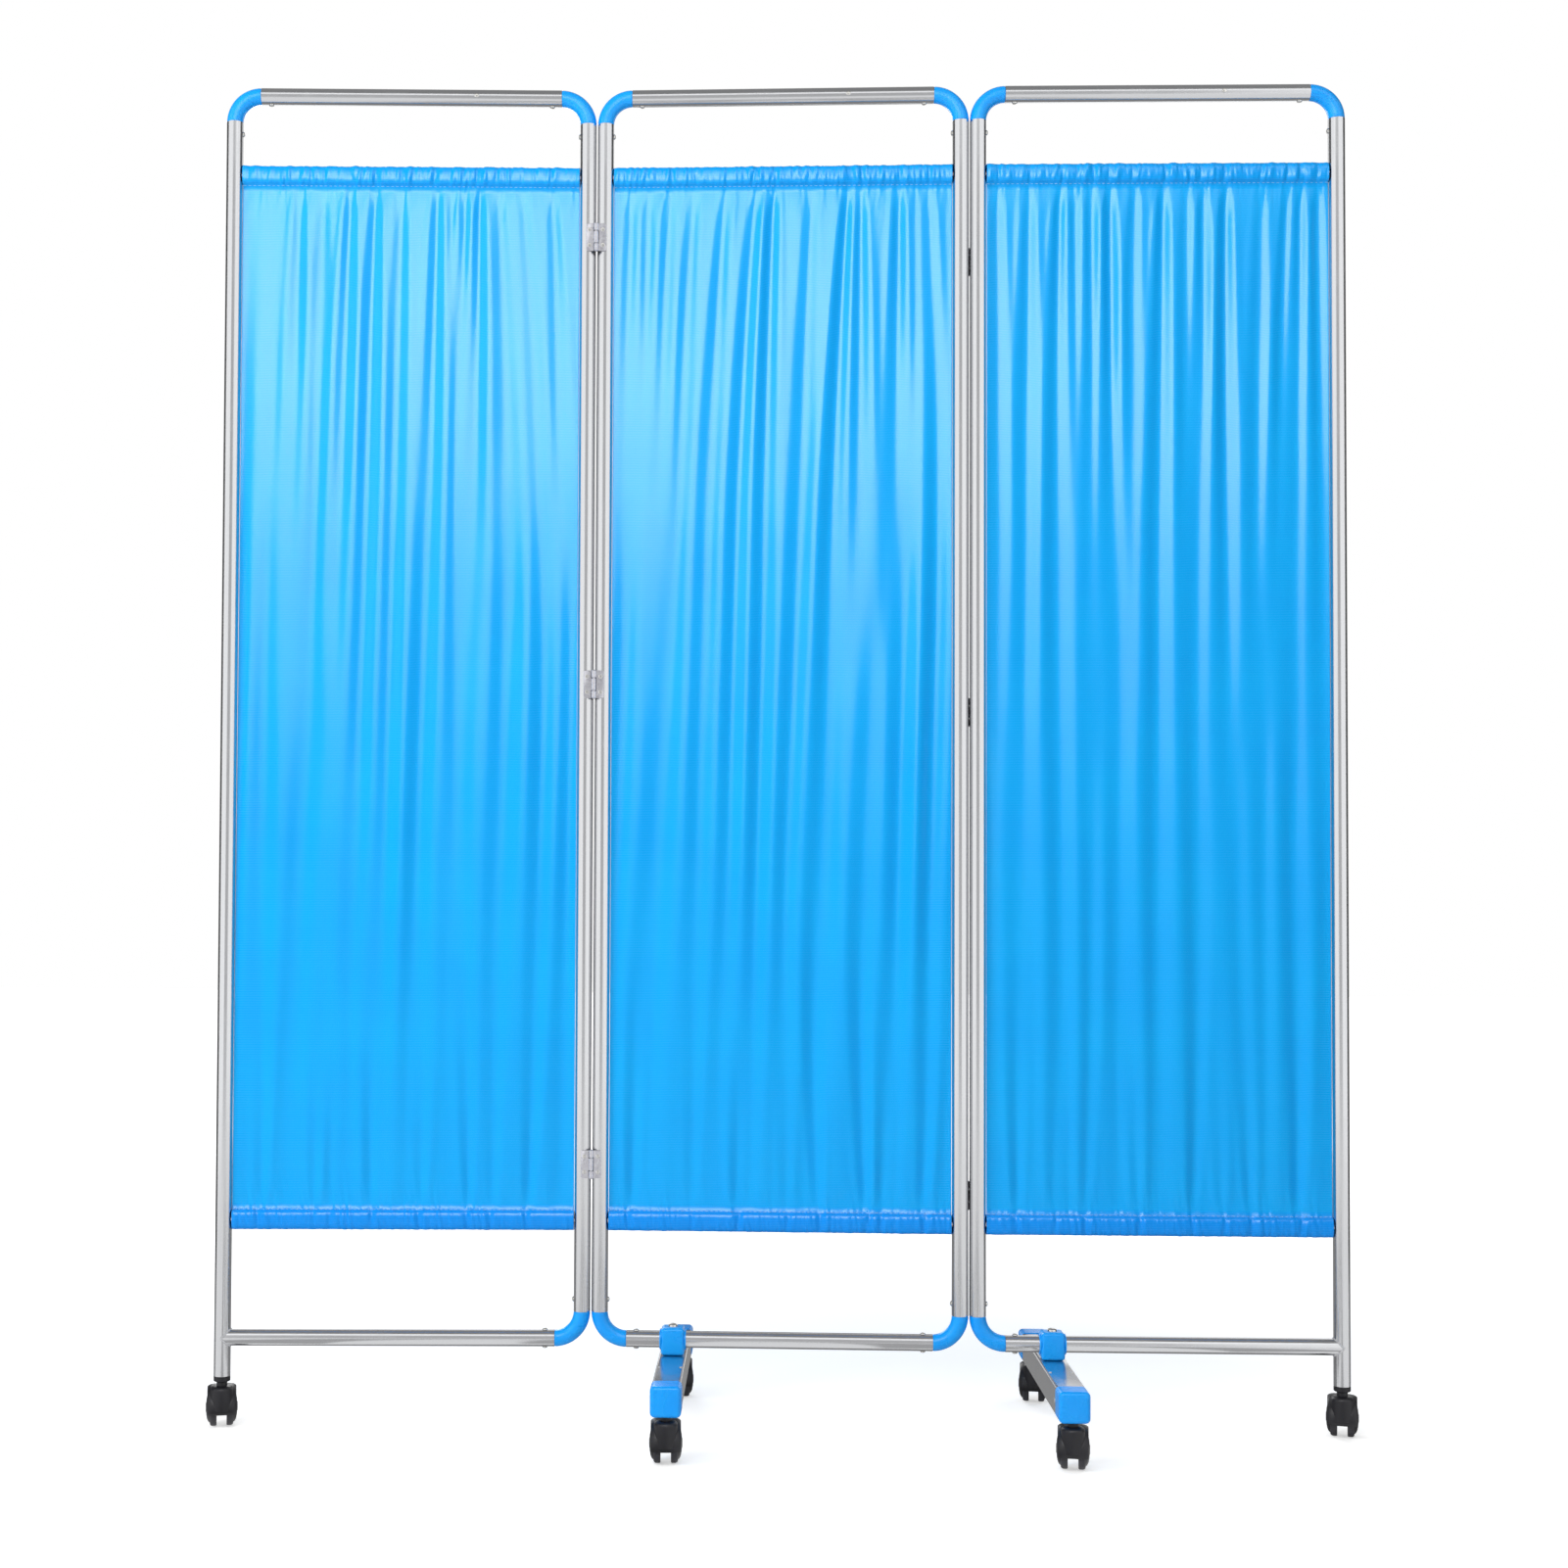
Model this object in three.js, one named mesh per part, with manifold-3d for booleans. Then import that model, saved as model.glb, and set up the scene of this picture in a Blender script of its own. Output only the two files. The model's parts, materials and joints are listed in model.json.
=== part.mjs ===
// A ward privacy screen on wheels: three hinged frames of stainless tube, each with a gathered curtain.
// Millimetres, +Z up. The middle panel lies along X, the front of the screen faces -Y, the floor is Z = 0.
import * as THREE from "three";
import { mergeVertices } from "three/addons/utils/BufferGeometryUtils.js";
import Module from "manifold-3d";

const wasm = await Module();
wasm.setup();

// Overall sizes, and how far each side panel is folded as the screen stands.
const SCREEN_HEIGHT = 1800;
const PANEL_WIDTH = 500;
const PANEL_GAP = 1;
const LEFT_REST_DEGREES = 3;
const RIGHT_REST_DEGREES = 1;

// Clearance between pieces that fit together, and how far a cutting tool runs past what it cuts.
const FIT_GAP = 0.3;
const OVERRUN = 2;

// Frame tube, and the moulded elbows whose spigots plug into it.
const TUBE_DIAMETER = 22;
const TUBE_WALL = 1;
const ELBOW_BEND = 36;
const SPIGOT_LENGTH = 24;
const OUTER_POST_BOTTOM = 70;

// Curtains, and the rods that run through their hems.
const CURTAIN_TOP_DROP = 106;
const CURTAIN_BOTTOM = 264;
const CURTAIN_SIDE_GAP = 1;
const CLOTH_THICKNESS = 2.5;
const FOLD_DEPTH = 5;
const HEM_HEIGHT = 26;
const HEM_DEPTH = 13;
const HEM_SEAT = 3;
const ROD_DIAMETER = 8;
const ROD_ENTRY = 5;

// Hinges: flat leaves on the tubes, and a pin in front of the gap between two panels.
const LEAF_THICKNESS = 1.5;
const LEAF_REACH = 13.5;
const LEAF_CLOSED_GAP = 1;
const KNUCKLE_DIAMETER = 6;
const KNUCKLE_CLEARANCE = 0.5;
const PIN_DIAMETER = 3;
const END_KNUCKLE_LENGTH = 9.5;
const MIDDLE_KNUCKLE_LENGTH = 16;
const KNUCKLE_GAP = 1;
const WELD_PAD_WIDTH = 4;

// Cross feet: a square bar under the bottom rail, with a moulded cap at each end.
const FOOT_INSET = 98;
const FOOT_LENGTH = 380;
const BAR_SIZE = 37;
const BAR_WALL = 2;
const BAR_CORNER = 3;
const CAP_SIZE = 39;
const CAP_DEPTH = 34;
const CAP_CORNER = 6;
const CAP_EDGE = 4;
const CAP_PLUG_LENGTH = 20;
const CLAMP_WIDTH = 33;
const CLAMP_SIDE_WALL = 3.3;
const CLAMP_TOP_WALL = 6;
const CLAMP_FLOOR = 8.5;
const CLAMP_CORNER = 4;

// Twin-wheel casters.
const MOUNT_HEIGHT = 63;
const WHEEL_DIAMETER = 50;
const WHEEL_WIDTH = 14.5;
const WHEEL_SPACING = 13;
const AXLE_DIAMETER = 6;
const AXLE_CLEARANCE = 0.4;
const CASTER_TRAIL = 18;
const STEM_DIAMETER = 10;
const STEM_LENGTH = 30;
const STEM_HEADROOM = 2;
const NECK_DIAMETER = 14;
const NECK_ROOT = 14;
const SHOULDER_DIAMETER = 30;
const SHOULDER_DROP = 6;
const HOOD_WALL = 3;
const HOOD_GAP = 2.5;
const HOOD_WIDTH = 38;
const WEB_WIDTH = 9;
const HUB_DIAMETER = 14;
const SOCKET_PLUG_LENGTH = 32;

// How finely round shapes are cut, in sides or steps.
const TUBE_SIDES = 16;
const ELBOW_SIDES = 14;
const SMALL_SIDES = 12;
const HINGE_SIDES = 8;
const HEM_SIDES = 8;
const WHEEL_SIDES = 16;
const ELBOW_STEPS = 4;
const CORNER_STEPS = 2;
const HOOD_STEPS = 7;

// Folds: columns of faces in each fold, and rows of faces down the curtain.
const COLUMNS_PER_FOLD = 5;
const CURTAIN_ROWS = 4;

// Hinge heights as shares of the screen's height: the left line is in front, the right line behind.
const HINGE_LEVELS = ["bottom", "middle", "top"];
const LEFT_HINGE_SHARES = [0.196, 0.5515, 0.887];
const RIGHT_HINGE_SHARES = [0.174, 0.532, 0.87];

// A wheel's outer half, as shares of its radius and of its width, from the hub out to the tread.
const WHEEL_FACE_SHARES = [[0.75, 0.88], [1, 0.6]];

// The hood reaches round the wheels between these angles, measured from straight behind, over the top.
const HOOD_FROM_DEGREES = 20;
const HOOD_TO_DEGREES = 190;

// The folds' waves: how far they wander across the curtain, the weights of the main and the slow wave,
// the slow wave's pitch, how full the folds are at the hems, and the power that lifts their fullest part.
const DRIFT_SHARE = 0.02;
const MAIN_WAVE_SHARE = 0.7;
const SLOW_WAVE_SHARE = 0.3;
const SLOW_PITCH_SHARE = 0.6;
const HEM_FULLNESS_SHARE = 0.25;
const FULLNESS_POWER = 1.3;

// How each curtain hangs: its folds, how far they lean over its height, and where in a turn they start.
const CURTAINS = {
  left: { foldCount: 9, leanShare: 0.06, startShare: 0.06 },
  middle: { foldCount: 10, leanShare: 0.1, startShare: 0.2 },
  right: { foldCount: 10, leanShare: -0.03, startShare: 0.4 },
};

// How far each caster is swivelled on its stem as the screen stands.
const SWIVEL_DEGREES = {
  left_outer: 12, right_outer: -16, middle_front: 3, middle_rear: 2, right_front: -9, right_rear: -8,
};

// Finishes, as they look in the photograph.
const STAINLESS = { color: 0xc4c6c9, roughness: 0.22, metalness: 1 };
const ZINC_PLATE = { color: 0xb4b8bd, roughness: 0.35, metalness: 1 };
const BLUE_PLASTIC = { color: 0x0096ff, roughness: 0.3, metalness: 0 };
const BLUE_CLOTH = { color: 0x1fbaf5, roughness: 0.75, metalness: 0 };
const BLACK_NYLON = { color: 0x26262a, roughness: 0.5, metalness: 0 };

// Places and radii that several pieces share.
const tubeRadius = TUBE_DIAMETER / 2;
const boreRadius = tubeRadius - TUBE_WALL;
const spigotRadius = boreRadius - FIT_GAP;
const postReach = PANEL_WIDTH / 2 - tubeRadius;
const hingeReach = PANEL_WIDTH / 2 + PANEL_GAP / 2;
const topRailHeight = SCREEN_HEIGHT - tubeRadius;
const rodRadius = ROD_DIAMETER / 2;
const upperRodHeight = SCREEN_HEIGHT - CURTAIN_TOP_DROP - HEM_HEIGHT / 2;
const lowerRodHeight = CURTAIN_BOTTOM + HEM_HEIGHT / 2;
const pinRadius = PIN_DIAMETER / 2;
const knuckleRadius = KNUCKLE_DIAMETER / 2;
const hingeOffset = tubeRadius + FIT_GAP + LEAF_THICKNESS + LEAF_CLOSED_GAP / 2;
const hingeLength = MIDDLE_KNUCKLE_LENGTH + 2 * (KNUCKLE_GAP + END_KNUCKLE_LENGTH);
const capCentreHeight = MOUNT_HEIGHT + CAP_SIZE / 2;
const barTop = capCentreHeight + BAR_SIZE / 2;
const bottomRailHeight = barTop + CLAMP_FLOOR + tubeRadius;
const wheelRadius = WHEEL_DIAMETER / 2;
const axleHeight = wheelRadius * Math.cos(Math.PI / WHEEL_SIDES);
const stemRadius = STEM_DIAMETER / 2;
const stemTop = MOUNT_HEIGHT + STEM_LENGTH;

// Turns that lay a shape extruded or turned along Z along another axis instead.
const X_AXIS = new THREE.Vector3(1, 0, 0);
const Y_AXIS = new THREE.Vector3(0, 1, 0);
const Z_AXIS = new THREE.Vector3(0, 0, 1);
const ALONG = {
  x: new THREE.Matrix4().makeBasis(Y_AXIS, Z_AXIS, X_AXIS),
  y: new THREE.Matrix4().makeBasis(Z_AXIS, X_AXIS, Y_AXIS),
  z: new THREE.Matrix4(),
};

// Joins and cuts of closed shapes
function solidOf(geometry) {
  const bare = geometry.clone();
  bare.deleteAttribute("normal");
  bare.deleteAttribute("uv");
  const merged = mergeVertices(bare);
  const vertProperties = merged.getAttribute("position").array;
  const triVerts = new Uint32Array(merged.index.array);
  return new wasm.Manifold(new wasm.Mesh({ numProp: 3, vertProperties, triVerts }));
}

function geometryOf(solid) {
  const { vertProperties, triVerts } = solid.getMesh();
  const geometry = new THREE.BufferGeometry();
  geometry.setAttribute("position", new THREE.BufferAttribute(vertProperties, 3));
  return geometry.setIndex(new THREE.BufferAttribute(triVerts, 1));
}

function join(...pieces) {
  return geometryOf(pieces.map(solidOf).reduce((whole, piece) => whole.add(piece)));
}

function cut(body, ...tools) {
  return geometryOf(tools.map(solidOf).reduce((rest, tool) => rest.subtract(tool), solidOf(body)));
}

// Basic shapes
function roundBar(radius, from, to, axis, sides = TUBE_SIDES) {
  const bar = new THREE.CylinderGeometry(radius, radius, to - from, sides);
  bar.translate(0, (from + to) / 2, 0);
  return bar.rotateX(Math.PI / 2).applyMatrix4(ALONG[axis]);
}

function turned(profile, axis, sides, firstTurn = 0) {
  const points = profile.map(([radius, along]) => new THREE.Vector2(radius, along));
  const shape = new THREE.LatheGeometry(points, sides, firstTurn);
  return shape.rotateX(Math.PI / 2).applyMatrix4(ALONG[axis]);
}

function pipe(outer, inner, from, to, axis, sides = TUBE_SIDES) {
  const profile = [[inner, from], [outer, from], [outer, to], [inner, to], [inner, from]];
  return turned(profile, axis, sides);
}

function block([x0, x1], [y0, y1], [z0, z1]) {
  const box = new THREE.BoxGeometry(x1 - x0, y1 - y0, z1 - z0);
  return box.translate((x0 + x1) / 2, (y0 + y1) / 2, (z0 + z1) / 2);
}

function prism(shape, length, axis) {
  const options = { depth: length, bevelEnabled: false, curveSegments: CORNER_STEPS };
  const geometry = new THREE.ExtrudeGeometry(shape, options);
  return geometry.translate(0, 0, -length / 2).applyMatrix4(ALONG[axis]);
}

// Outlines
function oval(halfWidth, halfHeight, sides) {
  const points = [];
  for (let i = 0; i < sides; i += 1) {
    const angle = ((i + 0.5) / sides) * 2 * Math.PI;
    points.push(new THREE.Vector2(halfWidth * Math.cos(angle), halfHeight * Math.sin(angle)));
  }
  return points;
}

function roundedRectangle(width, height, corner) {
  const across = width / 2 - corner;
  const up = height / 2 - corner;
  const quarter = Math.PI / 2;
  const shape = new THREE.Shape();
  shape.absarc(across, up, corner, 0, quarter);
  shape.absarc(-across, up, corner, quarter, 2 * quarter);
  shape.absarc(-across, -up, corner, 2 * quarter, 3 * quarter);
  shape.absarc(across, -up, corner, 3 * quarter, 4 * quarter);
  return shape;
}

// Posts: tubes with a hole on the inner side for each curtain rod's end
function post(bottom, top, inwards) {
  const tube = pipe(tubeRadius, boreRadius, bottom, top, "z");
  const holes = [lowerRodHeight, upperRodHeight].map((height) => {
    const drill = roundBar(rodRadius + FIT_GAP, 0, tubeRadius + OVERRUN, "x", SMALL_SIDES);
    return drill.rotateZ(inwards > 0 ? 0 : Math.PI).translate(0, 0, height);
  });
  return cut(tube, ...holes);
}

// Rails: tubes between two elbows, or from an elbow to the outer post, where the end is coped
function elbowRail() {
  const end = postReach - ELBOW_BEND - FIT_GAP;
  return pipe(tubeRadius, boreRadius, -end, end, "x");
}

function copedRail(outer) {
  const elbowEnd = ELBOW_BEND + FIT_GAP - postReach;
  const tube = pipe(tubeRadius, boreRadius, elbowEnd, postReach, "x");
  const cope = roundBar(tubeRadius + FIT_GAP, -TUBE_DIAMETER, TUBE_DIAMETER, "z");
  return cut(tube, cope.translate(postReach, 0, 0)).rotateZ(outer > 0 ? 0 : Math.PI);
}

// Elbows: a quarter bend with its legs along +X and -Z, and a spigot past each end
class QuarterBend extends THREE.Curve {
  getPoint(share, target = new THREE.Vector3()) {
    const angle = share * Math.PI / 2;
    return target.set(1 - Math.sin(angle), 0, Math.cos(angle) - 1).multiplyScalar(ELBOW_BEND);
  }
}

function elbow() {
  const section = new THREE.Shape(oval(tubeRadius, tubeRadius, ELBOW_SIDES));
  const sweep = { steps: ELBOW_STEPS, extrudePath: new QuarterBend() };
  const bend = new THREE.ExtrudeGeometry(section, sweep);
  const root = ELBOW_BEND - OVERRUN;
  const tip = ELBOW_BEND + SPIGOT_LENGTH;
  const railSpigot = roundBar(spigotRadius, root, tip, "x", ELBOW_SIDES);
  const postSpigot = roundBar(spigotRadius, -tip, -root, "z", ELBOW_SIDES);
  return join(bend, railSpigot, postSpigot);
}

// Curtains: a folded sheet gathered on a rod at the top and at the bottom
function foldWave(across, up, { foldCount, leanShare, startShare }) {
  const start = 2 * Math.PI * startShare;
  const place = across + leanShare * (1 - up) + DRIFT_SHARE * Math.sin(4 * Math.PI * across + start);
  const turn = 2 * Math.PI * foldCount * place;
  const wave = MAIN_WAVE_SHARE * Math.sin(turn + start) + SLOW_WAVE_SHARE * Math.sin(turn * SLOW_PITCH_SHARE);
  return wave * (HEM_FULLNESS_SHARE + (1 - HEM_FULLNESS_SHARE) * Math.sin(Math.PI * up ** FULLNESS_POWER));
}

function hem(height, width) {
  const shape = new THREE.Shape(oval(HEM_DEPTH / 2, HEM_HEIGHT / 2, HEM_SIDES));
  const bore = rodRadius + FIT_GAP;
  shape.holes.push(new THREE.Path(oval(bore, bore, SMALL_SIDES)));
  return prism(shape, width, "x").translate(0, 0, height);
}

function curtain(hang) {
  const width = 2 * (postReach - tubeRadius - CURTAIN_SIDE_GAP);
  const sheetBottom = lowerRodHeight + rodRadius + HEM_SEAT;
  const sheetTop = upperRodHeight - rodRadius - HEM_SEAT;
  const height = sheetTop - sheetBottom;
  const columns = hang.foldCount * COLUMNS_PER_FOLD;
  const sheet = new THREE.BoxGeometry(width, CLOTH_THICKNESS, height, columns, 1, CURTAIN_ROWS);
  const points = sheet.getAttribute("position");
  for (let i = 0; i < points.count; i += 1) {
    const across = points.getX(i) / width + 0.5;
    const up = points.getZ(i) / height + 0.5;
    points.setY(i, points.getY(i) + FOLD_DEPTH * foldWave(across, up, hang));
  }
  sheet.translate(0, 0, (sheetBottom + sheetTop) / 2);
  return join(sheet, hem(lowerRodHeight, width), hem(upperRodHeight, width));
}

function curtainRod() {
  const end = postReach - tubeRadius + ROD_ENTRY;
  return roundBar(rodRadius, -end, end, "x", SMALL_SIDES);
}

// Hinges, about an axis through the origin, with the tubes they join behind it on +Y
const leafOuterFace = LEAF_CLOSED_GAP / 2;
const leafInnerFace = leafOuterFace + LEAF_THICKNESS;
const leafRoot = knuckleRadius + KNUCKLE_CLEARANCE;

function leafPlate() {
  const heights = [-hingeLength / 2, hingeLength / 2];
  return block([leafRoot, LEAF_REACH], [leafOuterFace, leafInnerFace], heights);
}

function knuckle(from, to) {
  const barrel = roundBar(knuckleRadius, from, to, "z", HINGE_SIDES);
  const tab = block([0, leafRoot + OVERRUN], [leafOuterFace, leafInnerFace], [from, to]);
  return join(barrel, tab);
}

function pinnedLeaf() {
  const pin = roundBar(pinRadius, -hingeLength / 2, hingeLength / 2, "z", HINGE_SIDES);
  const middle = knuckle(-MIDDLE_KNUCKLE_LENGTH / 2, MIDDLE_KNUCKLE_LENGTH / 2);
  return join(leafPlate(), middle, pin).rotateY(Math.PI);
}

function weldedLeaf() {
  const lower = knuckle(-hingeLength / 2, END_KNUCKLE_LENGTH - hingeLength / 2);
  const upper = knuckle(hingeLength / 2 - END_KNUCKLE_LENGTH, hingeLength / 2);
  const postCentre = tubeRadius + PANEL_GAP / 2;
  const padWidth = [postCentre - WELD_PAD_WIDTH / 2, postCentre + WELD_PAD_WIDTH / 2];
  const padDepth = [leafOuterFace, hingeOffset - tubeRadius + TUBE_WALL / 2];
  const pad = block(padWidth, padDepth, [-hingeLength / 2, hingeLength / 2]);
  const bore = roundBar(pinRadius + FIT_GAP, -hingeLength, hingeLength, "z", HINGE_SIDES);
  return cut(join(leafPlate(), lower, upper, pad), bore);
}

function hingedPost(side, hingeShares) {
  const bottom = bottomRailHeight + ELBOW_BEND + FIT_GAP;
  const top = topRailHeight - ELBOW_BEND - FIT_GAP;
  const leaves = hingeShares.map((share) => {
    const leaf = weldedLeaf().rotateZ(side > 0 ? Math.PI : 0);
    const across = tubeRadius + PANEL_GAP / 2;
    return leaf.translate(side * across, side * hingeOffset, share * SCREEN_HEIGHT);
  });
  return join(post(bottom, top, -side), ...leaves);
}

// Cross feet: the clamp on the rail, the square bar under it, and a cap that takes a caster's stem
function railClamp() {
  const depth = 2 * (tubeRadius + CLAMP_SIDE_WALL);
  const top = tubeRadius + CLAMP_TOP_WALL;
  const bottom = barTop + FIT_GAP - bottomRailHeight;
  const body = prism(roundedRectangle(depth, top - bottom, CLAMP_CORNER), CLAMP_WIDTH, "x");
  body.translate(0, 0, (top + bottom) / 2);
  return cut(body, roundBar(tubeRadius + FIT_GAP, -CLAMP_WIDTH, CLAMP_WIDTH, "x"));
}

function footBar() {
  const shape = roundedRectangle(BAR_SIZE, BAR_SIZE, BAR_CORNER);
  const inside = BAR_SIZE - 2 * BAR_WALL;
  shape.holes.push(roundedRectangle(inside, inside, BAR_CORNER - BAR_WALL));
  return prism(shape, FOOT_LENGTH - 2 * (CAP_DEPTH + FIT_GAP), "y");
}

function footCap() {
  const outline = roundedRectangle(CAP_SIZE - 2 * CAP_EDGE, CAP_SIZE - 2 * CAP_EDGE, CAP_CORNER - CAP_EDGE);
  const options = {
    depth: CAP_DEPTH - CAP_EDGE,
    bevelThickness: CAP_EDGE,
    bevelSize: CAP_EDGE,
    bevelSegments: CORNER_STEPS,
    curveSegments: CORNER_STEPS,
  };
  const moulding = new THREE.ExtrudeGeometry(outline, options).applyMatrix4(ALONG.y);
  const face = cut(moulding, block([-CAP_SIZE, CAP_SIZE], [-CAP_SIZE, 0], [-CAP_SIZE, CAP_SIZE]));
  const inside = BAR_SIZE - 2 * (BAR_WALL + FIT_GAP);
  const plug = prism(roundedRectangle(inside, inside, BAR_CORNER - BAR_WALL), CAP_PLUG_LENGTH + OVERRUN, "y");
  plug.translate(0, (OVERRUN - CAP_PLUG_LENGTH) / 2, 0);
  const boreTop = STEM_LENGTH + STEM_HEADROOM - CAP_SIZE / 2;
  const bore = roundBar(stemRadius + FIT_GAP, -CAP_SIZE, boreTop, "z", SMALL_SIDES);
  return cut(join(face, plug), bore.translate(0, CAP_DEPTH / 2, 0));
}

// Caster socket: a plug in the outer post's open end, with a flange that the caster's neck runs under
function casterSocket() {
  const bore = stemRadius + FIT_GAP;
  const flangeTop = OUTER_POST_BOTTOM - FIT_GAP;
  const plugTop = OUTER_POST_BOTTOM + SOCKET_PLUG_LENGTH;
  const flange = [[bore, MOUNT_HEIGHT], [tubeRadius, MOUNT_HEIGHT], [tubeRadius, flangeTop]];
  const plug = [[spigotRadius, flangeTop], [spigotRadius, plugTop], [bore, plugTop]];
  return turned([...flange, ...plug, flange[0]], "z", ELBOW_SIDES);
}

// Casters, with the swivel axis at the origin and the wheels trailing on +Y
function hoodSector(radius, inner) {
  const points = [];
  const turn = THREE.MathUtils.degToRad(HOOD_TO_DEGREES - HOOD_FROM_DEGREES) / HOOD_STEPS;
  for (let i = 0; i <= HOOD_STEPS; i += 1) {
    const angle = THREE.MathUtils.degToRad(HOOD_FROM_DEGREES) + i * turn;
    points.push(new THREE.Vector2(Math.cos(angle), Math.sin(angle)));
  }
  const outside = points.map((point) => point.clone().multiplyScalar(radius));
  const inside = points.reverse().map((point) => point.clone().multiplyScalar(inner));
  return new THREE.Shape([...outside, ...inside]);
}

function casterHood() {
  const outer = wheelRadius + HOOD_GAP + HOOD_WALL;
  const shell = prism(hoodSector(outer, outer - HOOD_WALL), HOOD_WIDTH, "x");
  const hub = HUB_DIAMETER / 2;
  const web = prism(hoodSector(outer - HOOD_WALL / 2, hub / 2), WEB_WIDTH, "x");
  const boss = roundBar(hub, -WEB_WIDTH / 2, WEB_WIDTH / 2, "x", SMALL_SIDES);
  const covers = [shell, web, boss].map((piece) => piece.translate(0, CASTER_TRAIL, axleHeight));
  const neckTop = MOUNT_HEIGHT - FIT_GAP;
  const shoulderTop = MOUNT_HEIGHT - SHOULDER_DROP;
  const shoulderBar = roundBar(SHOULDER_DIAMETER / 2, shoulderTop - NECK_ROOT, shoulderTop, "z", SMALL_SIDES);
  const wheelRoom = roundBar(outer - HOOD_WALL / 2, -HOOD_WIDTH, HOOD_WIDTH, "x", WHEEL_SIDES);
  const shoulder = cut(shoulderBar, wheelRoom.translate(0, CASTER_TRAIL, axleHeight));
  const neck = roundBar(NECK_DIAMETER / 2, neckTop - NECK_ROOT, neckTop, "z", SMALL_SIDES);
  const stem = roundBar(stemRadius, neckTop - OVERRUN, stemTop, "z", SMALL_SIDES);
  const bore = roundBar(AXLE_DIAMETER / 2 + AXLE_CLEARANCE, -WEB_WIDTH, WEB_WIDTH, "x", SMALL_SIDES);
  return cut(join(...covers, shoulder, neck, stem), bore.translate(0, CASTER_TRAIL, axleHeight));
}

function casterWheels() {
  const inner = WHEEL_SPACING / 2;
  const outerHalf = WHEEL_FACE_SHARES.map(([radiusShare, widthShare]) => {
    return [wheelRadius * radiusShare, inner + WHEEL_WIDTH * widthShare];
  });
  const axle = AXLE_DIAMETER / 2;
  const half = [[0, inner + WHEEL_WIDTH], ...outerHalf, [wheelRadius, inner], [axle, inner]];
  const mirrored = half.map(([radius, along]) => [radius, -along]);
  const wheels = turned([...mirrored, ...half.reverse()], "x", WHEEL_SIDES, Math.PI / WHEEL_SIDES);
  return wheels;
}

// Assembly
function addPiece(parent, name, geometry, finish) {
  const material = new THREE.MeshStandardMaterial({ ...finish, flatShading: true });
  const mesh = new THREE.Mesh(geometry, material);
  mesh.name = name;
  parent.add(mesh);
  return mesh;
}

function addCaster(parent, name, x, y) {
  const caster = new THREE.Group();
  caster.position.set(x, y, 0);
  caster.rotation.z = THREE.MathUtils.degToRad(SWIVEL_DEGREES[name]);
  addPiece(caster, `${name}_caster_hood`, casterHood(), BLACK_NYLON);
  const wheels = addPiece(caster, `${name}_caster_wheels`, casterWheels(), BLACK_NYLON);
  wheels.position.set(0, CASTER_TRAIL, axleHeight);
  parent.add(caster);
}

function addFoot(parent, name) {
  const foot = new THREE.Group();
  foot.position.x = FOOT_INSET - postReach;
  addPiece(foot, `${name}_foot_clamp`, railClamp(), BLUE_PLASTIC).position.z = bottomRailHeight;
  addPiece(foot, `${name}_foot_bar`, footBar(), STAINLESS).position.z = capCentreHeight;
  for (const [end, direction] of [["front", -1], ["rear", 1]]) {
    const cap = addPiece(foot, `${name}_foot_cap_${end}`, footCap(), BLUE_PLASTIC);
    cap.position.set(0, direction * (FOOT_LENGTH / 2 - CAP_DEPTH), capCentreHeight);
    cap.rotation.z = direction > 0 ? 0 : Math.PI;
    addCaster(foot, `${name}_${end}`, 0, direction * (FOOT_LENGTH - CAP_DEPTH) / 2);
  }
  parent.add(foot);
}

// The four corners in the order of an elbow's quarter turns about Y: side of the panel, top or bottom.
const CORNERS = [[-1, "top"], [1, "top"], [1, "bottom"], [-1, "bottom"]];

// outer is the side whose post runs down to a caster, or 0 on the middle panel, which has none.
function addFrame(panel, name, outer, sideNames) {
  addPiece(panel, `${name}_top_rail`, elbowRail(), STAINLESS).position.z = topRailHeight;
  const bottomRail = outer ? copedRail(outer) : elbowRail();
  addPiece(panel, `${name}_bottom_rail`, bottomRail, STAINLESS).position.z = bottomRailHeight;
  CORNERS.forEach(([side, end], turns) => {
    if (side === outer && end === "bottom") return;
    const corner = addPiece(panel, `${name}_elbow_${end}_${sideNames[side]}`, elbow(), BLUE_PLASTIC);
    corner.position.set(side * postReach, 0, end === "top" ? topRailHeight : bottomRailHeight);
    corner.rotation.y = turns * Math.PI / 2;
  });
}

function addCurtain(panel, name) {
  addPiece(panel, `${name}_curtain`, curtain(CURTAINS[name]), BLUE_CLOTH);
  addPiece(panel, `${name}_rod_top`, curtainRod(), ZINC_PLATE).position.z = upperRodHeight;
  addPiece(panel, `${name}_rod_bottom`, curtainRod(), ZINC_PLATE).position.z = lowerRodHeight;
}

function middlePanel() {
  const panel = new THREE.Group();
  addFrame(panel, "middle", 0, { "-1": "left", 1: "right" });
  const leftPost = hingedPost(-1, LEFT_HINGE_SHARES);
  const rightPost = hingedPost(1, RIGHT_HINGE_SHARES);
  addPiece(panel, "middle_left_post", leftPost, STAINLESS).position.x = -postReach;
  addPiece(panel, "middle_right_post", rightPost, STAINLESS).position.x = postReach;
  addCurtain(panel, "middle");
  addFoot(panel, "middle");
  return panel;
}

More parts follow.
